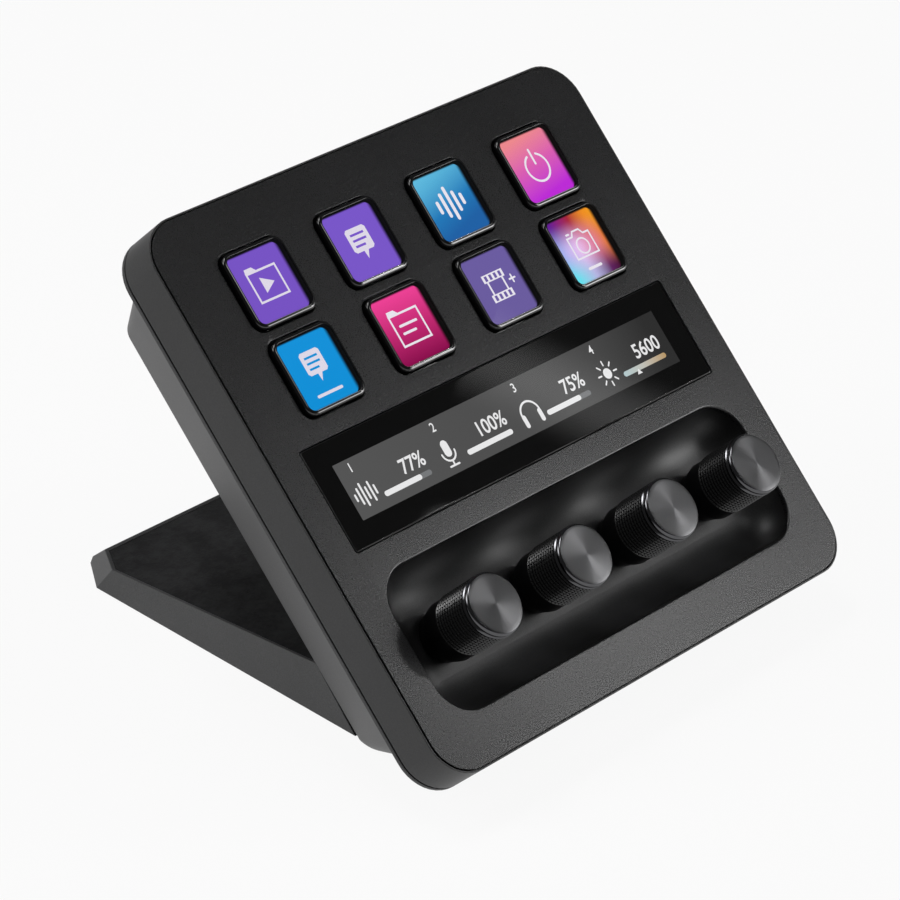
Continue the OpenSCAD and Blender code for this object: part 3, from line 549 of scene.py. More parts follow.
acrylic = clear("clear_acrylic", 1.49, 0.03, 120.0, 2.0)
side_ink = moulded("side_ink", (2, 2, 2), (4, 4, 4), 0.7, grain=1.0, depth=0.001, specular=0.02)
edge_black = moulded("edge_black", (8, 8, 9), (14, 14, 15), 0.2, depth=0.0001)
foot = [(FLANGE, KEY_LOW), (FLANGE, FLANGE_TOP), (BASE, FLANGE_TOP), (BASE, 0.0)]
well = [(WINDOW, LEDGE_LEVEL), (LEDGE, LEDGE_LEVEL), (LEDGE, KEY_LOW)]
block_outline = grown(WINDOW, -BLOCK_GAP)
for i, (x, v) in enumerate(key_holes, 1):
    cap = [rounded(*outline, n, x, v) for outline, n in foot]
    for t in np.linspace(0, np.pi / 2, 9):
        o = CROWN_W * (1 - math.cos(t))
        rise = KEY_TOP - CROWN_H * (1 - math.sin(t))
        cap.append(rounded(*grown(TOP, -o), rise, x, v))
    cap += eased(*WINDOW, KEY_TOP, WINDOW_SOFT, 1, 1, x, v, 3)
    cap += [rounded(*outline, n, x, v) for outline, n in well]
    rim_piece = piece(f"key_rim_{i}", [loft(cap + cap[:1])], key_black, f"key_{i}", f"key_frame_{i}")
    block = [rounded(*block_outline, BLOCK_LOW, x, v)]
    block += eased(*block_outline, BLOCK_TOP, BLOCK_SOFT, -1, 1, x, v, 4)[::-1]
    window = piece(f"key_window_{i}", closed(block), acrylic, f"key_{i}", f"key_lens_{i}")
    black_sides(window, side_ink, edge_black)

# Pictures in the keys: the lit display seen through each block, a rounded square of plain colour or
# a slow blend, darkened at its border by painted shade of the rim, with a simple sign on it in near white.
# Picture and sign lie just above the ledge.
PICTURE, PICTURE_LEVEL, PICTURE_X = (16.5, 16.6, 2.4), -0.97, 0.17
SIGN_LEVEL, SIGN_X = -0.96, 0.3
UNLIT = {"Base Color": (0.0, 0.0, 0.0, 1), "Specular IOR Level": 0.0}


def lit(name, colour):
    """Even light of one colour, with a faint grid of display cells in its strength."""
    mat, shader, node = new_finish(name)
    strength = ranged(node, noise(node, 2500.0, 1.0), 0.95, 1.05)
    feed(shader, {"Emission Color": srgb(*colour), "Emission Strength": strength, **UNLIT})
    return mat


def rim_shade_fade(node, soft):
    """Painted shade at a picture's border, where the rim shades it: the light's strength follows the lesser
    distance to a side on the map, smoothed over `soft`. The distance across counts 0.4 of its length, so
    that the shade is wider on the left and right."""
    u, v = (node("SeparateXYZ", {"Vector": node("UVMap")}, k) for k in "XY")
    across, up = (node("Math", {0: place, 1: 0.5}, operation="PINGPONG") for place in (u, v))
    across = node("Math", {0: across, 1: 0.4}, operation="MULTIPLY")
    least = node("Math", {0: across, 1: up}, operation="MINIMUM")
    return ranged(node, least, 0.0, 1.0, 0.0, soft, "SMOOTHSTEP")


def lit_blend(name, stops, direction, soft=0.03):
    """Light whose colour follows a ramp of stops along a direction on the picture's own map, with u right
    and v up. Its border darkens over `soft`, as painted shade of the rim."""
    mat, shader, node = new_finish(name)
    along = node("VectorMath", {0: node("UVMap"), 1: (*direction, 0)}, "Value", operation="DOT_PRODUCT")
    feed(shader, {"Emission Color": colour_ramp(node, along, stops),
                  "Emission Strength": rim_shade_fade(node, soft) if soft else 1.0, **UNLIT})
    return mat


def places(mesh):
    """Place of each point of a mesh."""
    co = np.empty(len(mesh.vertices) * 3)
    mesh.vertices.foreach_get("co", co)
    return co.reshape(-1, 3)


def face_places(mesh):
    """Millimetres across and up the panel's face of each point of a mesh: what on_face does, undone."""
    x, y, z = places(mesh).T * 1000
    return x, (y - FACE_Y) * LEAN + (z - FACE_Z) * LEAN


def corner_points(mesh):
    """Number of the point at each face corner."""
    corners = np.empty(len(mesh.loops), int)
    mesh.loops.foreach_get("vertex_index", corners)
    return corners


def mapped(obj, cx, cv, w, h):
    """Own map of a flat picture: u and v are the place across and up it, from 0 to 1."""
    across, up = face_places(obj.data)
    uv = np.stack([(across - cx) / w + 0.5, (up - cv) / h + 0.5], 1)[corner_points(obj.data)]
    layer = obj.data.uv_layers.new(name="picture")
    layer.data.foreach_set("uv", uv.ravel())


def stroke(points, width, closed=False):
    """Flat line along points: each point moves half the width to both sides along its corner's mitre; open
    ends get round caps."""
    p = np.asarray(points, float)
    ahead = (np.roll(p, -1, 0) - p) if closed else np.diff(p, axis=0, append=p[-1:] * 2 - p[-2:-1])
    back = np.roll(ahead, 1, 0)
    if not closed:
        back[0] = ahead[0]
    ta = ahead / np.linalg.norm(ahead, axis=1)[:, None]
    tb = back / np.linalg.norm(back, axis=1)[:, None]
    t = ta + tb
    t /= np.linalg.norm(t, axis=1)[:, None]
    side = np.stack([-t[:, 1], t[:, 0]], 1) * (width / 2 / np.clip((t * ta).sum(1), 0.5, 1))[:, None]
    m = len(p)
    verts = np.concatenate([p + side, p - side])
    i = np.arange(m if closed else m - 1)
    j = (i + 1) % m
    parts = [(verts, np.stack([i, i + m, j + m, j], 1))]
    if not closed:
        parts += [dot(p[0], width / 2), dot(p[-1], width / 2)]
    return parts


def shape(points):
    """Flat filled outline."""
    return np.asarray(points, float), [list(range(len(points)))]


def dot(centre, r):
    """Flat disc of 20 sides."""
    return shape(circle(r, 0, *centre, 20)[:, :2])


def ring(cx, cv, r, width, a0=0.0, a1=360.0, count=36):
    """Line along an arc from a0 to a1 degrees."""
    whole = a1 - a0 >= 360
    a = np.radians(np.linspace(a0, a1, count, endpoint=not whole))
    return stroke(np.stack([cx + r * np.cos(a), cv + r * np.sin(a)], 1), width, whole)


def bar(x0, x1, v, width):
    """Level line with round ends."""
    return stroke([(x0, v), (x1, v)], width)


def upright(x, v0, v1, width):
    """Upright line with round ends."""
    return stroke([(x, v0), (x, v1)], width)


def plate(x0, x1, v0, v1):
    """Filled rectangle."""
    return shape([(x0, v0), (x1, v0), (x1, v1), (x0, v1)])


def wave(x, v, gap, heights, width):
    """Sound wave: upright lines a gap apart from x on, each reaching its own height above and below v."""
    lines = [upright(x + gap * k, v - h, v + h, width) for k, h in enumerate(heights)]
    return sum(lines, [])


def bubble(cx, cv, k):
    """Speech bubble: a rounded box with a tail, as strips between three gaps for the written lines."""
    out = [shape([(-3.2, 2.6), (-2.6, 3.2), (2.6, 3.2), (3.2, 2.6), (3.2, 1.9), (-3.2, 1.9)])]
    for top in (1.9, 0.5, -0.9):
        low = top - 0.55
        right = 2.1 if top > -0.5 else 1.0
        out += [plate(-3.2, -2.1, top, low), plate(right, 3.2, top, low)]
    for top, low in ((1.35, 0.5), (-0.05, -0.9)):
        out.append(plate(-3.2, 3.2, top, low))
    out.append(shape([(-3.2, -1.45), (3.2, -1.45), (3.2, -2.0), (2.6, -2.6), (0.9, -2.6), (-0.3, -4.6),
                      (-0.5, -2.6), (-2.6, -2.6), (-3.2, -2.0)]))
    return [(p * k + [cx, cv], f) for p, f in out]


def folder(w, h, width):
    """Folder: a box drawn in line with a filled tab at its upper left."""
    x, v, half = w / 2, h / 2, width / 2
    tab = shape([(-x - half, v), (-x, v + 1.2), (-x + 2.2, v + 1.2), (-x + 3.1, v + half),
                 (-x + 3.1, v - half), (-x - half, v - half)])
    return stroke([(-x, -v), (x, -v), (x, v), (-x, v)], width, True) + [tab]


film = []
for v in (2.5, -2.5):
    film += [plate(-3.6, 3.2, v + 0.65, v + 0.95), plate(-3.6, 3.2, v - 0.95, v - 0.65)]
    film += [plate(x - 0.35, x + 0.35, v - 0.65, v + 0.65) for x in np.linspace(-3.25, 2.85, 5)]
film += upright(-2.6, -1.6, 1.6, 0.5) + upright(2.2, -1.6, 1.6, 0.5)
film += bar(3.9, 5.7, 0.3, 0.45) + upright(4.8, -0.6, 1.2, 0.45)
camera_sign = stroke([(-3.7, -2.4), (3.7, -2.4), (3.7, 3.0), (1.9, 3.0), (1.1, 4.2), (-1.1, 4.2),
                      (-1.9, 3.0), (-3.7, 3.0)], 0.42, True)
camera_sign += ring(0, 0.2, 1.9, 0.42) + bar(-3.3, -2.5, 3.9, 0.5)
signs = [
    folder(8.6, 7.0, 0.5) + [shape([(-1.5, 1.9), (-1.5, -1.9), (2.0, 0.0)])],
    bubble(0, 0.6, 1.0),
    wave(-3.8, 0, 1.9, (1.17, 2.67, 3.83, 2.17, 1.0), 0.95),
    ring(0, -0.4, 3.5, 0.55, 115, 425) + upright(0, 0.6, 4.2, 0.6),
    bubble(0, 1.6, 0.95) + bar(-3.6, 3.6, -5.6, 0.7),
    folder(8.8, 7.4, 0.5) + bar(-2.6, 2.6, 0.9, 0.6) + bar(-2.6, 1.2, -1.0, 0.6),
    film,
    camera_sign + bar(-2.0, 2.0, -5.4, 0.7),
]
pictures = [lit_blend(f"picture_{name}", stops, direction) for name, direction, stops in (
    ("violet_a", (0.2, 0.9), [(0.0, (126, 87, 207)), (1.0, (127, 89, 210))]),
    ("violet_b", (0.2, 0.9), [(0.0, (129, 92, 213)), (1.0, (129, 92, 215))]),
    ("sea", (-0.25, 0.9), [(0.0, (31, 103, 176)), (0.3, (35, 129, 197)), (0.7, (92, 189, 231)),
                           (0.9, (107, 204, 241))]),
    ("rose", (-0.15, 0.95), [(0.0, (201, 44, 229)), (0.45, (233, 101, 189)), (0.85, (254, 146, 152))]),
    ("blue", (0.2, 0.9), [(0.0, (8, 152, 228)), (1.0, (16, 155, 232))]),
    ("cherry", (0.0, 1.0), [(0.0, (142, 0, 77)), (0.5, (207, 42, 121)), (1.0, (255, 70, 161))]),
    ("mauve", (0.2, 0.9), [(0.0, (113, 98, 168)), (1.0, (114, 98, 172))]),
)]

low_row = [(0.1, (106, 242, 255)), (0.45, (194, 193, 242)), (0.78, (99, 33, 100)),
           (1.0, (68, 0, 31))]
mid_row = [(0.05, (173, 189, 255)), (0.4, (248, 205, 255)), (0.7, (237, 135, 167)),
           (0.95, (244, 131, 65))]
top_row = [(0.12, (107, 29, 157)), (0.5, (179, 38, 60)), (0.82, (255, 152, 33)),
           (1.0, (255, 167, 31))]
glow, glow_shader, glow_node = new_finish("picture_many")
glow_u, glow_v = (glow_node("SeparateXYZ", {"Vector": glow_node("UVMap")}, k) for k in "XY")
blend, *upper = [colour_ramp(glow_node, glow_u, stops) for stops in (low_row, mid_row, top_row)]
for start, row in zip((0.05, 0.5), upper):
    share = ranged(glow_node, glow_v, 0.0, 1.0, start, start + 0.45, "SMOOTHSTEP")
    blend = glow_node("Mix", {"Factor": share, 6: blend, 7: row}, 2, data_type="RGBA")
# Its border darkens with the same painted shade of the rim.
feed(glow_shader, {"Emission Color": blend, "Emission Strength": rim_shade_fade(glow_node, 0.03), **UNLIT})
pictures.append(glow)


def level(parts, n, cx=0.0, cv=0.0):
    """Flat parts moved by (cx, cv) and put at level n."""
    return [(np.column_stack([p + [cx, cv], np.full(len(p), float(n))]), f) for p, f in parts]


def flat_piece(name, parts, finish, body):
    """Flat lit parts as one object, faces left as they are."""
    obj = shown(name, mesh_of(name, parts, finish))
    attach(obj, body)
    return obj


white_sign = lit("sign_white", (248, 244, 254))
grey_sign = lit("sign_grey", (237, 231, 246))
for i, (x, v) in enumerate(key_holes, 1):
    outline = rounded(*PICTURE, PICTURE_LEVEL, x + PICTURE_X, v)
    picture = flat_piece(f"key_picture_{i}", [pierced(outline)], pictures[i - 1], f"key_{i}")
    mapped(picture, x + PICTURE_X, v, *PICTURE[:2])
    on_plain_colour = i in (1, 2, 5)
    sign = flat_piece(f"key_sign_{i}", level(signs[i - 1], SIGN_LEVEL, x + SIGN_X, v),
                      grey_sign if on_plain_colour else white_sign, f"key_{i}")

# Under the keys: a black plastic guide that the caps slide in, a pale silicone mat that springs them
# back and lets light pass, and the one display panel that lights all eight.
dress(moulded("guide_black", (18, 18, 19), (28, 28, 29), 0.55), "key_guide")
silicone = moulded("mat_silicone", (176, 180, 184), (206, 209, 212), 0.5, grain=0.8, depth=0.02)
panel_glass = moulded("panel_glass", (10, 12, 16), (18, 21, 26), 0.12, grain=3.0, depth=0.002,
                      spread=0.03)
dress(silicone, "key_mat")
dress(panel_glass, "key_display")

# Touch strip: a black glass flush with the face, its edge bevelled. Its back is printed black round a
# clear window, and the lit display lies against the window with four channels of signs, levels and
# numbers. A black gasket fills the gap round the glass from below.
VIEW = (108.1, 13.5, 0.1)
GLASS_BACK, BACK_EASE, BEVEL_LOW, BEVEL_TOP, BEVEL_IN, BEVEL_R = -1.15, 0.1, -0.2, -0.05, 0.25, 0.45
PRINT_LEVEL, PICTURE_BACK, DIM_LEVEL, MARK_LEVEL, GASKET_LEVEL = -1.12, -1.14, -1.133, -1.126, -1.17
PRINT_IN, GASKET_IN, GASKET_OUT = 0.05, 0.5, 0.29

glass = clear("cover_glass", 1.5, 0.05, 40.0, 3.0)
pane = eased(*STRIP, GLASS_BACK, BACK_EASE, -1, -1, 0, STRIP_V, 2)
pane.append(rounded(*STRIP, BEVEL_LOW, 0, STRIP_V))
pane.append(rounded(*grown(STRIP, -BEVEL_IN)[:2], BEVEL_R, BEVEL_TOP, 0, STRIP_V))
strip_cover = piece("strip_cover", closed(pane), glass, "chassis", "strip_glass")
black_sides(strip_cover, side_ink, edge_black)


def strip_outline(out, r, n):
    """The strip's outline at level n, moved out on all sides, with corner radius r."""
    return rounded(*grown(STRIP, out)[:2], r, n, 0, STRIP_V)


ink = moulded("print_black", (2, 2, 2), (4, 4, 4), 0.7, grain=2.0, depth=0.001, specular=0.02)
printed = pierced(strip_outline(-PRINT_IN, STRIP[2], PRINT_LEVEL),
                  rounded(*VIEW, PRINT_LEVEL, 0, STRIP_V))
gasket = pierced(strip_outline(GASKET_OUT, strip_hole[2], GASKET_LEVEL),
                 strip_outline(-GASKET_IN, STRIP[2] / 2, GASKET_LEVEL))
strip_print = flat_piece("strip_print", [printed, gasket], ink, "chassis")
grey_stops = [(0.0, (90, 90, 90)), (0.4, (83, 83, 83)), (0.65, (82, 82, 82)),
              (0.8, (74, 74, 74)), (0.96, (47, 47, 47))]
strip_grey = lit_blend("strip_grey", grey_stops, (1.0, 0.0), 0.0)
view = rounded(*VIEW, PICTURE_BACK, 0, STRIP_V)
strip_picture = flat_piece("strip_picture", [pierced(view)], strip_grey, "chassis")
mapped(strip_picture, 0, STRIP_V, *VIEW[:2])
dress(moulded("display_back", (28, 30, 34), (44, 46, 50), 0.4), "strip_display")


def digits(text, size, right, base, weight=0.0):
    """Plain numbers as flat faces: the built-in letter shapes, made a mesh and a little narrowed, with their
    right edge and base line put in place."""
    curve = bpy.data.curves.new("digits", "FONT")
    curve.body, curve.size, curve.offset, curve.resolution_u = text, size, weight, 4
    obj = shown("digits", curve)
    mesh = bpy.data.meshes.new_from_object(obj.evaluated_get(bpy.context.evaluated_depsgraph_get()))
    co = places(mesh)[:, :2] * [0.88, 0.96]
    faces = [list(f.vertices) for f in mesh.polygons]
    bpy.data.objects.remove(obj)
    return co + [right - co[:, 0].max(), base], faces


def sound(x, v):
    """Six upright lines of uneven height."""
    return wave(x - 3.2, v, 1.2, (0.64, 1.76, 2.56, 1.28, 2.16, 0.88), 0.55)


def microphone(x, v):
    """A thick capsule in the lower half of a ring, on a stem and a foot."""
    x = x - 0.6
    capsule = upright(x, v + 0.1, v + 2.0, 2.1) + ring(x, v + 0.1, 2.0, 0.45, 180, 360, 14)
    return capsule + upright(x, v - 1.9, v - 3.0, 0.45) + bar(x - 1.4, x + 1.4, v - 3.1, 0.45)


def headphones(x, v):
    """The upper half of a ring with a thick pad at each end."""
    pads = upright(x - 2.6, v - 0.6, v - 2.6, 1.2) + upright(x + 2.6, v - 0.6, v - 2.6, 1.2)
    return ring(x, v - 0.3, 2.9, 0.5, 0, 180, 20) + pads


def sun(x, v):
    """A disc with eight short rays, each along its own angle."""
    out = [dot((x, v), 1.3)]
    for a in np.radians(np.arange(0, 360, 45)):
        ray = np.array([math.cos(a), math.sin(a)])
        out += stroke([ray * 2.1 + [x, v], ray * 3.1 + [x, v]], 0.4)
    return out


CHANNEL_W, CHANNEL_FROM = 27.0, -VIEW[0] / 2
LEVEL_FROM, LEVEL_TO, LEVEL_V, LEVEL_T = 9.7, 23.5, -6.2, 1.25
SIGN_FROM, SIGN_V = 4.7, -4.2
NUMBER_FROM, NUMBER_V, NUMBER_SIZE = 4.4, 1.3, 3.2
READING_TO, READING_V, READING_SIZE = 24.1, -4.2, 5.1
channels = (("77%", 0.77, sound), ("100%", 1.0, microphone), ("75%", 0.75, headphones), ("5600", None, sun))
white_marks, dim_marks = [], []
for k, (reading, fill, sign) in enumerate(channels):
    left = CHANNEL_FROM + CHANNEL_W * k
    white_marks.append(digits(str(k + 1), NUMBER_SIZE, left + NUMBER_FROM, NUMBER_V, 0.03))
    white_marks.append(digits(reading, READING_SIZE, left + READING_TO, READING_V, 0.07))
    white_marks += sign(left + SIGN_FROM, SIGN_V)
    x0, x1 = left + LEVEL_FROM, left + LEVEL_TO
    if fill is None:
        tone_marks = bar(x0, x1, LEVEL_V, LEVEL_T)
        tone_middle = (x0 + x1) / 2
        white_marks.append(shape([(x0 + 3.4, -7.6), (x0 + 5.0, -7.6), (x0 + 4.2, -6.3)]))
    else:
        dim_marks += bar(x0, x1, LEVEL_V, LEVEL_T)
        white_marks += bar(x0, x0 + (x1 - x0) * fill, LEVEL_V, LEVEL_T)
tone_stops = [(0.0, (190, 214, 218)), (0.45, (206, 206, 196)), (1.0, (196, 160, 108))]
tone = lit_blend("marks_tone", tone_stops, (1.0, 0.0), 0.0)
marks_white = lit("marks_white", (248, 248, 249))
marks_dim = lit("marks_dim", (126, 128, 130))
strip_marks = flat_piece("strip_marks", level(white_marks, MARK_LEVEL), marks_white, "chassis")
strip_dim = flat_piece("strip_dim", level(dim_marks, DIM_LEVEL), marks_dim, "chassis")
strip_tone = flat_piece("strip_tone", level(tone_marks, DIM_LEVEL), tone, "chassis")
mapped(strip_tone, tone_middle, LEVEL_V, LEVEL_TO - LEVEL_FROM + LEVEL_T, LEVEL_T)

# Dials: a black sleeve, knurled in a fine square grid above a smooth collar, under a turned
# aluminium cap with a bright ring, a groove and a spun face. Each sits on a flatted steel shaft
# in an encoder below the tray.
grip_black = moulded("grip_black", (3, 3, 4), (7, 7, 8), 0.22, grain=0.25, depth=0.0003, specular=0.6)
# A duller, darker copy of the sleeve's black: painted shade for the knurl's pits and for the side turned
# away from the lamps.
knurl_shade_black = moulded("knurl_shade_black", (2, 2, 3), (5, 5, 6), 0.5, grain=0.25, depth=0.0003, specular=0.15)
GRIP, COLLAR, SKIRT, BORE, SHAFT_HOLE = 7.35, 7.05, 5.9, 5.0, 1.5
SLEEVE_LOW, BORE_END, GRIP_LOW, CAP_SEAT, CAP_TOP = -7.9, -1.0, 0.8, 10.9, 13.1
RIBS, ROWS, PIT = 48, 11, 0.28
CELL = np.array([0.0, 0.05, 0.09, 0.13, 0.3, 0.5, 0.7, 0.84, 0.9, 0.95])
RIB = np.array([0.5, 0.5, 0.5, 0.0, 0.0, 0.0, 0.0, 0.0, 0.5, 0.5])
RING = np.array([1.0, 1.0, 0.84, 0.68, 0.0, 0.0, 0.0, 0.56, 0.8, 1.0])


def knurl(cx):
    """Sleeve on a grid of angle and height: the radius follows the profile, less PIT in the grooves. At the
    places CELL across one rib or ring, RIB and RING say how high each stands: low straight ribs with steep
    walls, and sloped rings. At each point the higher of the two counts."""
    angle = ((np.arange(RIBS)[:, None] + CELL) / RIBS).ravel() * 2 * np.pi
    profile = [(BORE, SLEEVE_LOW), (SKIRT, SLEEVE_LOW), (SKIRT + 0.35, -6.6), (SKIRT + 0.8, -5.2),
               (COLLAR, -4.0), (COLLAR, -1.5), (COLLAR, GRIP_LOW - 0.35), (COLLAR + 0.12, GRIP_LOW - 0.15)]
    along = np.append(((np.arange(ROWS)[:, None] + CELL) / ROWS).ravel(), 1.0)
    high = along * (CAP_SEAT - 0.1 - GRIP_LOW) + GRIP_LOW
    radius = np.array([r for r, n in profile] + [GRIP] * high.size + [GRIP - 0.2, 0.4])
    level_n = np.array([n for r, n in profile] + high.tolist() + [CAP_SEAT, CAP_SEAT])
    ridge = np.maximum(np.tile(RIB, RIBS)[None, :], np.append(np.tile(RING, ROWS), 1.0)[:, None])
    pit = np.zeros((radius.size, angle.size))
    pit[len(profile):len(profile) + high.size] = PIT * (1 - ridge)
    r = radius[:, None] - pit
    n = np.repeat(level_n[:, None], angle.size, 1)
    grid = np.stack([cx + r * np.cos(angle), TROUGH_V + r * np.sin(angle), n], 2)
    bottom = [np.stack([cx + r * np.cos(angle), TROUGH_V + r * np.sin(angle), np.full(angle.size, n)], 1)
              for r, n in ((SHAFT_HOLE, BORE_END), (BORE, BORE_END), (BORE, SLEEVE_LOW))]
    return loft([*bottom, *grid])


spun, spun_shader, spun_node = new_finish("spun_aluminium")
spun_place = spun_node("Mapping", {"Vector": spun_node("UVMap"), "Scale": (2.0, 24.0, 1.0)})
spun_lines = noise(spun_node, 1.0, 3.0, 0.7, spun_place)
feed(spun_shader, {"Base Color": srgb(73, 73, 74), "Metallic": 1.0, "Anisotropic": 0.95,
                   "Anisotropic Rotation": 0.25, "Roughness": ranged(spun_node, spun_lines, 0.28, 0.31),
                   "Normal": dented(spun_node, spun_lines, 0.009, 0.6),
                   "Tangent": spun_node("Tangent", direction_type="UV_MAP")})


def lathe(profile, cx, count=96):
    """Profile of (radius, level) turned about the dial's axis."""
    return loft([circle(r, n, cx, TROUGH_V, count) for r, n in profile])


def turned_map(obj, cx):
    """Own map of a turned piece: u is the angle over a full turn, v the distance from the axis over 10 mm.
    On each face u is kept within half a turn of its first corner's."""
    mesh = obj.data
    across, up = face_places(mesh)
    dx, dv = across - cx, up - TROUGH_V
    corners = corner_points(mesh)
    totals = np.empty(len(mesh.polygons), int)
    mesh.polygons.foreach_get("loop_total", totals)
    u = (np.arctan2(dv, dx) / (2 * np.pi))[corners]
    start = np.repeat(np.cumsum(totals) - totals, totals)
    u = u + np.round(u[start] - u)
    layer = mesh.uv_layers.new(name="turned")
    layer.data.foreach_set("uv", np.stack([u, (np.hypot(dx, dv) / 10)[corners]], 1).ravel())


def two_finishes(obj, other, least):
    """Gives the faces that look out along the dial's axis by less than `least` the other material."""
    obj.data.materials.append(other)
    for face in obj.data.polygons:
        face.material_index = int(facing(face) < least)


rim_metal = metal("turned_rim", srgb(86, 86, 88), 0.14, scale=1500.0, depth=0.001)
STUD_R, AXIS = 2.4, 0.02
lower_rim = [(7.2, 0.0), (7.37, 0.03), (7.4, 0.1), (7.05, 0.5), (6.98, 0.54), (6.95, 0.74), (7.27, 0.77),
             (7.35, 0.85)]
dished_face = [(7.35, 0.76), (6.92, 0.31), (6.85, 0.28), (6.0, 0.25), (4.0, 0.18), (1.5, 0.07), (AXIS, 0.02)]
cap_profile = [(AXIS, CAP_SEAT - 1.5), (STUD_R, CAP_SEAT - 1.5), (STUD_R, CAP_SEAT)]
cap_profile += [(r, CAP_SEAT + up) for r, up in lower_rim]
cap_profile += [(r, CAP_TOP - down) for r, down in dished_face]
for i, x in enumerate(DIAL_X, 1):
    sleeve = piece(f"dial_grip_{i}", [knurl(x)], grip_black, f"knob_{i}", f"knob_sleeve_{i}", sharp=30,
                   evened=False)
    # All faces but the ring flanks that face the cap take the dull black, as painted shade.
    two_finishes(sleeve, knurl_shade_black, 0.495)
    cap = piece(f"dial_cap_{i}", [lathe(cap_profile, x)], spun, f"knob_{i}", f"knob_cap_{i}", sharp=50)
    turned_map(cap, x)
    two_finishes(cap, rim_metal, 0.976)
dials = range(1, len(DIAL_X) + 1)
dress(metal("shaft_steel", (0.5, 0.51, 0.52, 1), 0.3), *[f"knob_shaft_{i}" for i in dials])
nylon = moulded("rotor_nylon", (222, 218, 206), (236, 233, 224), 0.45)
dress(nylon, *[f"encoder_rotor_{i}" for i in dials])
dress(metal("case_steel", (0.42, 0.43, 0.44, 1), 0.42), *[f"encoder_case_{i}" for i in dials])

# Boards, socket, cables and screws: green lacquered glass fibre, a drawn steel USB-C shell, flat
# amber cables and zinc-plated pan heads.
lacquer = moulded("board_green", (16, 66, 38), (26, 92, 54), 0.35, grain=1.2, depth=0.01)
dress(lacquer, "main_board", "dial_board", "port_board")
dress(metal("socket_steel", (0.6, 0.61, 0.62, 1), 0.28), "usb_socket")
amber = moulded("cable_amber", (150, 92, 30), (186, 124, 48), 0.32, grain=1.0, depth=0.01)
dress(amber, "ribbon_cables")
dress(metal("zinc", (0.55, 0.56, 0.58, 1), 0.3), "board_screws", "housing_screws", "stand_screws")

# Table: a wide white sheet of paper. To the camera, in reflections and through glass it is nearly an
# even white, and for the rest it is a matt sheet that takes a soft shadow.
TABLE_HALF, PAPER_WHITE = 3.0, 0.92
sheet = bpy.data.meshes.new("table_top")
sheet_corners = [(x * TABLE_HALF, y * TABLE_HALF, 0) for x, y in ((-1, -1), (1, -1), (1, 1), (-1, 1))]
sheet.from_pydata(sheet_corners, [], [(0, 1, 2, 3)])
table_top = shown("table_top", sheet)
paper, paper_shader, paper_node = new_finish("white_paper")
paper.node_tree.nodes.remove(paper_shader)
rays = [paper_node("LightPath", out=f"Is {kind} Ray") for kind in ("Camera", "Glossy", "Transmission")]
seen = paper_node("Math", {0: rays[0], 1: rays[1]}, operation="MAXIMUM")
seen = paper_node("Math", {0: seen, 1: rays[2]}, operation="MAXIMUM")
share = paper_node("Math", {0: seen, 1: PAPER_WHITE}, operation="MULTIPLY")
matt = paper_node("BsdfDiffuse", {"Color": (0.8, 0.8, 0.8, 1)})
bright = paper_node("Emission", {"Strength": 1.0})
both = paper_node("MixShader", {0: share, 1: matt, 2: bright})
feed(paper.node_tree.nodes["Material Output"], {"Surface": both})
sheet.materials.append(paper)

# Light: a dim even room and six soft boxes: a small one, a wide one and a high one in front, a faint
# narrow strip that the glass mirrors, a broad one behind on the left and one overhead.
world = bpy.data.worlds.new("room")
bpy.context.scene.world = world
world.use_nodes = True
feed(world.node_tree.nodes["Background"], {"Color": (1, 1, 1, 1), "Strength": 0.09})


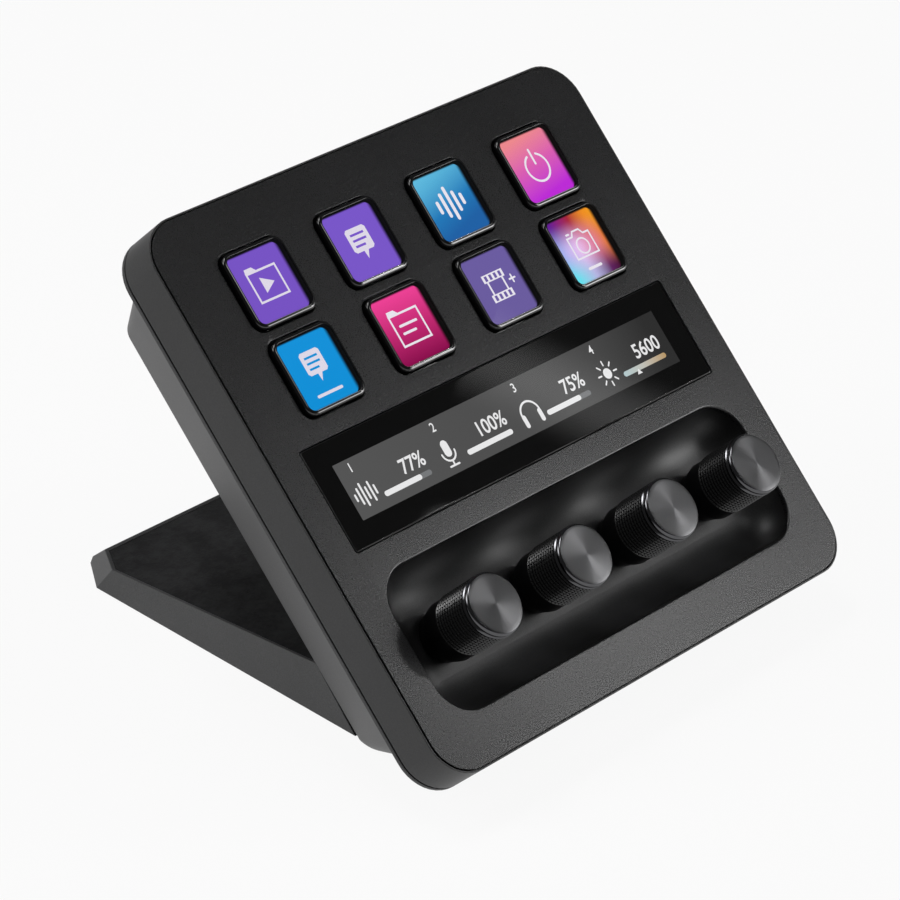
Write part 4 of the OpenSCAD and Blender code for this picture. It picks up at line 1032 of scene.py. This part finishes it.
def soft_box(name, place, target, wide, high, power, across=(1, 1, 0)):
    """Lamp at place that faces target. Its light fades from the middle to the edges, smoothed, along the
    axes that `across` names: with (1, 0, 0) it keeps its full strength up to its top and bottom ends."""
    lamp = bpy.data.lights.new(name, "AREA")
    lamp.shape, lamp.size, lamp.size_y, lamp.energy = "RECTANGLE", wide, high, power
    lamp.use_nodes = True
    node = node_maker(lamp.node_tree)
    kept = node("VectorMath", {0: node("NewGeometry", out="Parametric"), 1: across}, operation="MULTIPLY")
    middle = [k / 2 for k in across]
    away = node("VectorMath", {0: kept, 1: middle}, "Value", operation="DISTANCE")
    fade = ranged(node, away, 0.0, 2.4, 0.5, 0.0, "SMOOTHSTEP")
    feed(lamp.node_tree.nodes["Emission"], {"Strength": fade})
    obj = shown(name, lamp)
    z = np.array(place, float) - np.array(target, float)
    z /= np.linalg.norm(z)
    x = np.cross([0, 0, 1], z)
    x /= np.linalg.norm(x)
    pose = np.eye(4)
    pose[:3] = np.stack([x, np.cross(z, x), z, place], 1)
    obj.matrix_world = Matrix(pose.tolist())


soft_box("front_near", (0.595, -0.505, 0.515), (0.0, -0.03, 0.04), 0.05, 0.153, 0.45)
soft_box("right_strip", (1.05, -0.71, 0.875), (0.0, 0.0, 0.06), 0.066, 0.14, 0.0109, (1, 0, 0))
soft_box("front_wide", (0.86, -0.795, 0.303), (0.0, 0.0, 0.04), 0.814, 0.814, 9.3)
soft_box("front_high", (0.31, -0.52, 0.84), (0.0, 0.0, 0.04), 0.32, 0.32, 1.0)
soft_box("left_back", (-0.9, 0.7, 0.9), (0.0, 0.0, 0.05), 1.0, 1.0, 11.0)
soft_box("overhead", (-0.165, 0.264, 1.1), (0.0, 0.0, 0.05), 0.8, 0.3, 6.0)

# Camera: the view from the front left with a long lens. It stands 0.96 m away, looks down by
# 28 degrees and leans over sideways by 2.6 degrees. The picture's light and colours are left plain.
CAMERA_PLACE = (-0.63867, -0.54936, 0.49457)
CAMERA_TURN = (61.7143, -2.3035, -48.2916)
lens = bpy.data.cameras.new("camera")
lens.lens, lens.sensor_width, lens.sensor_fit = 167.7, 36.0, "HORIZONTAL"
lens.clip_start, lens.clip_end = 0.05, 20.0
camera = shown("camera", lens)
turn = Euler([math.radians(a) for a in CAMERA_TURN])
camera.matrix_world = Matrix.Translation(CAMERA_PLACE) @ turn.to_matrix().to_4x4()
bpy.context.scene.camera = camera
bpy.context.scene.view_settings.view_transform = "Standard"
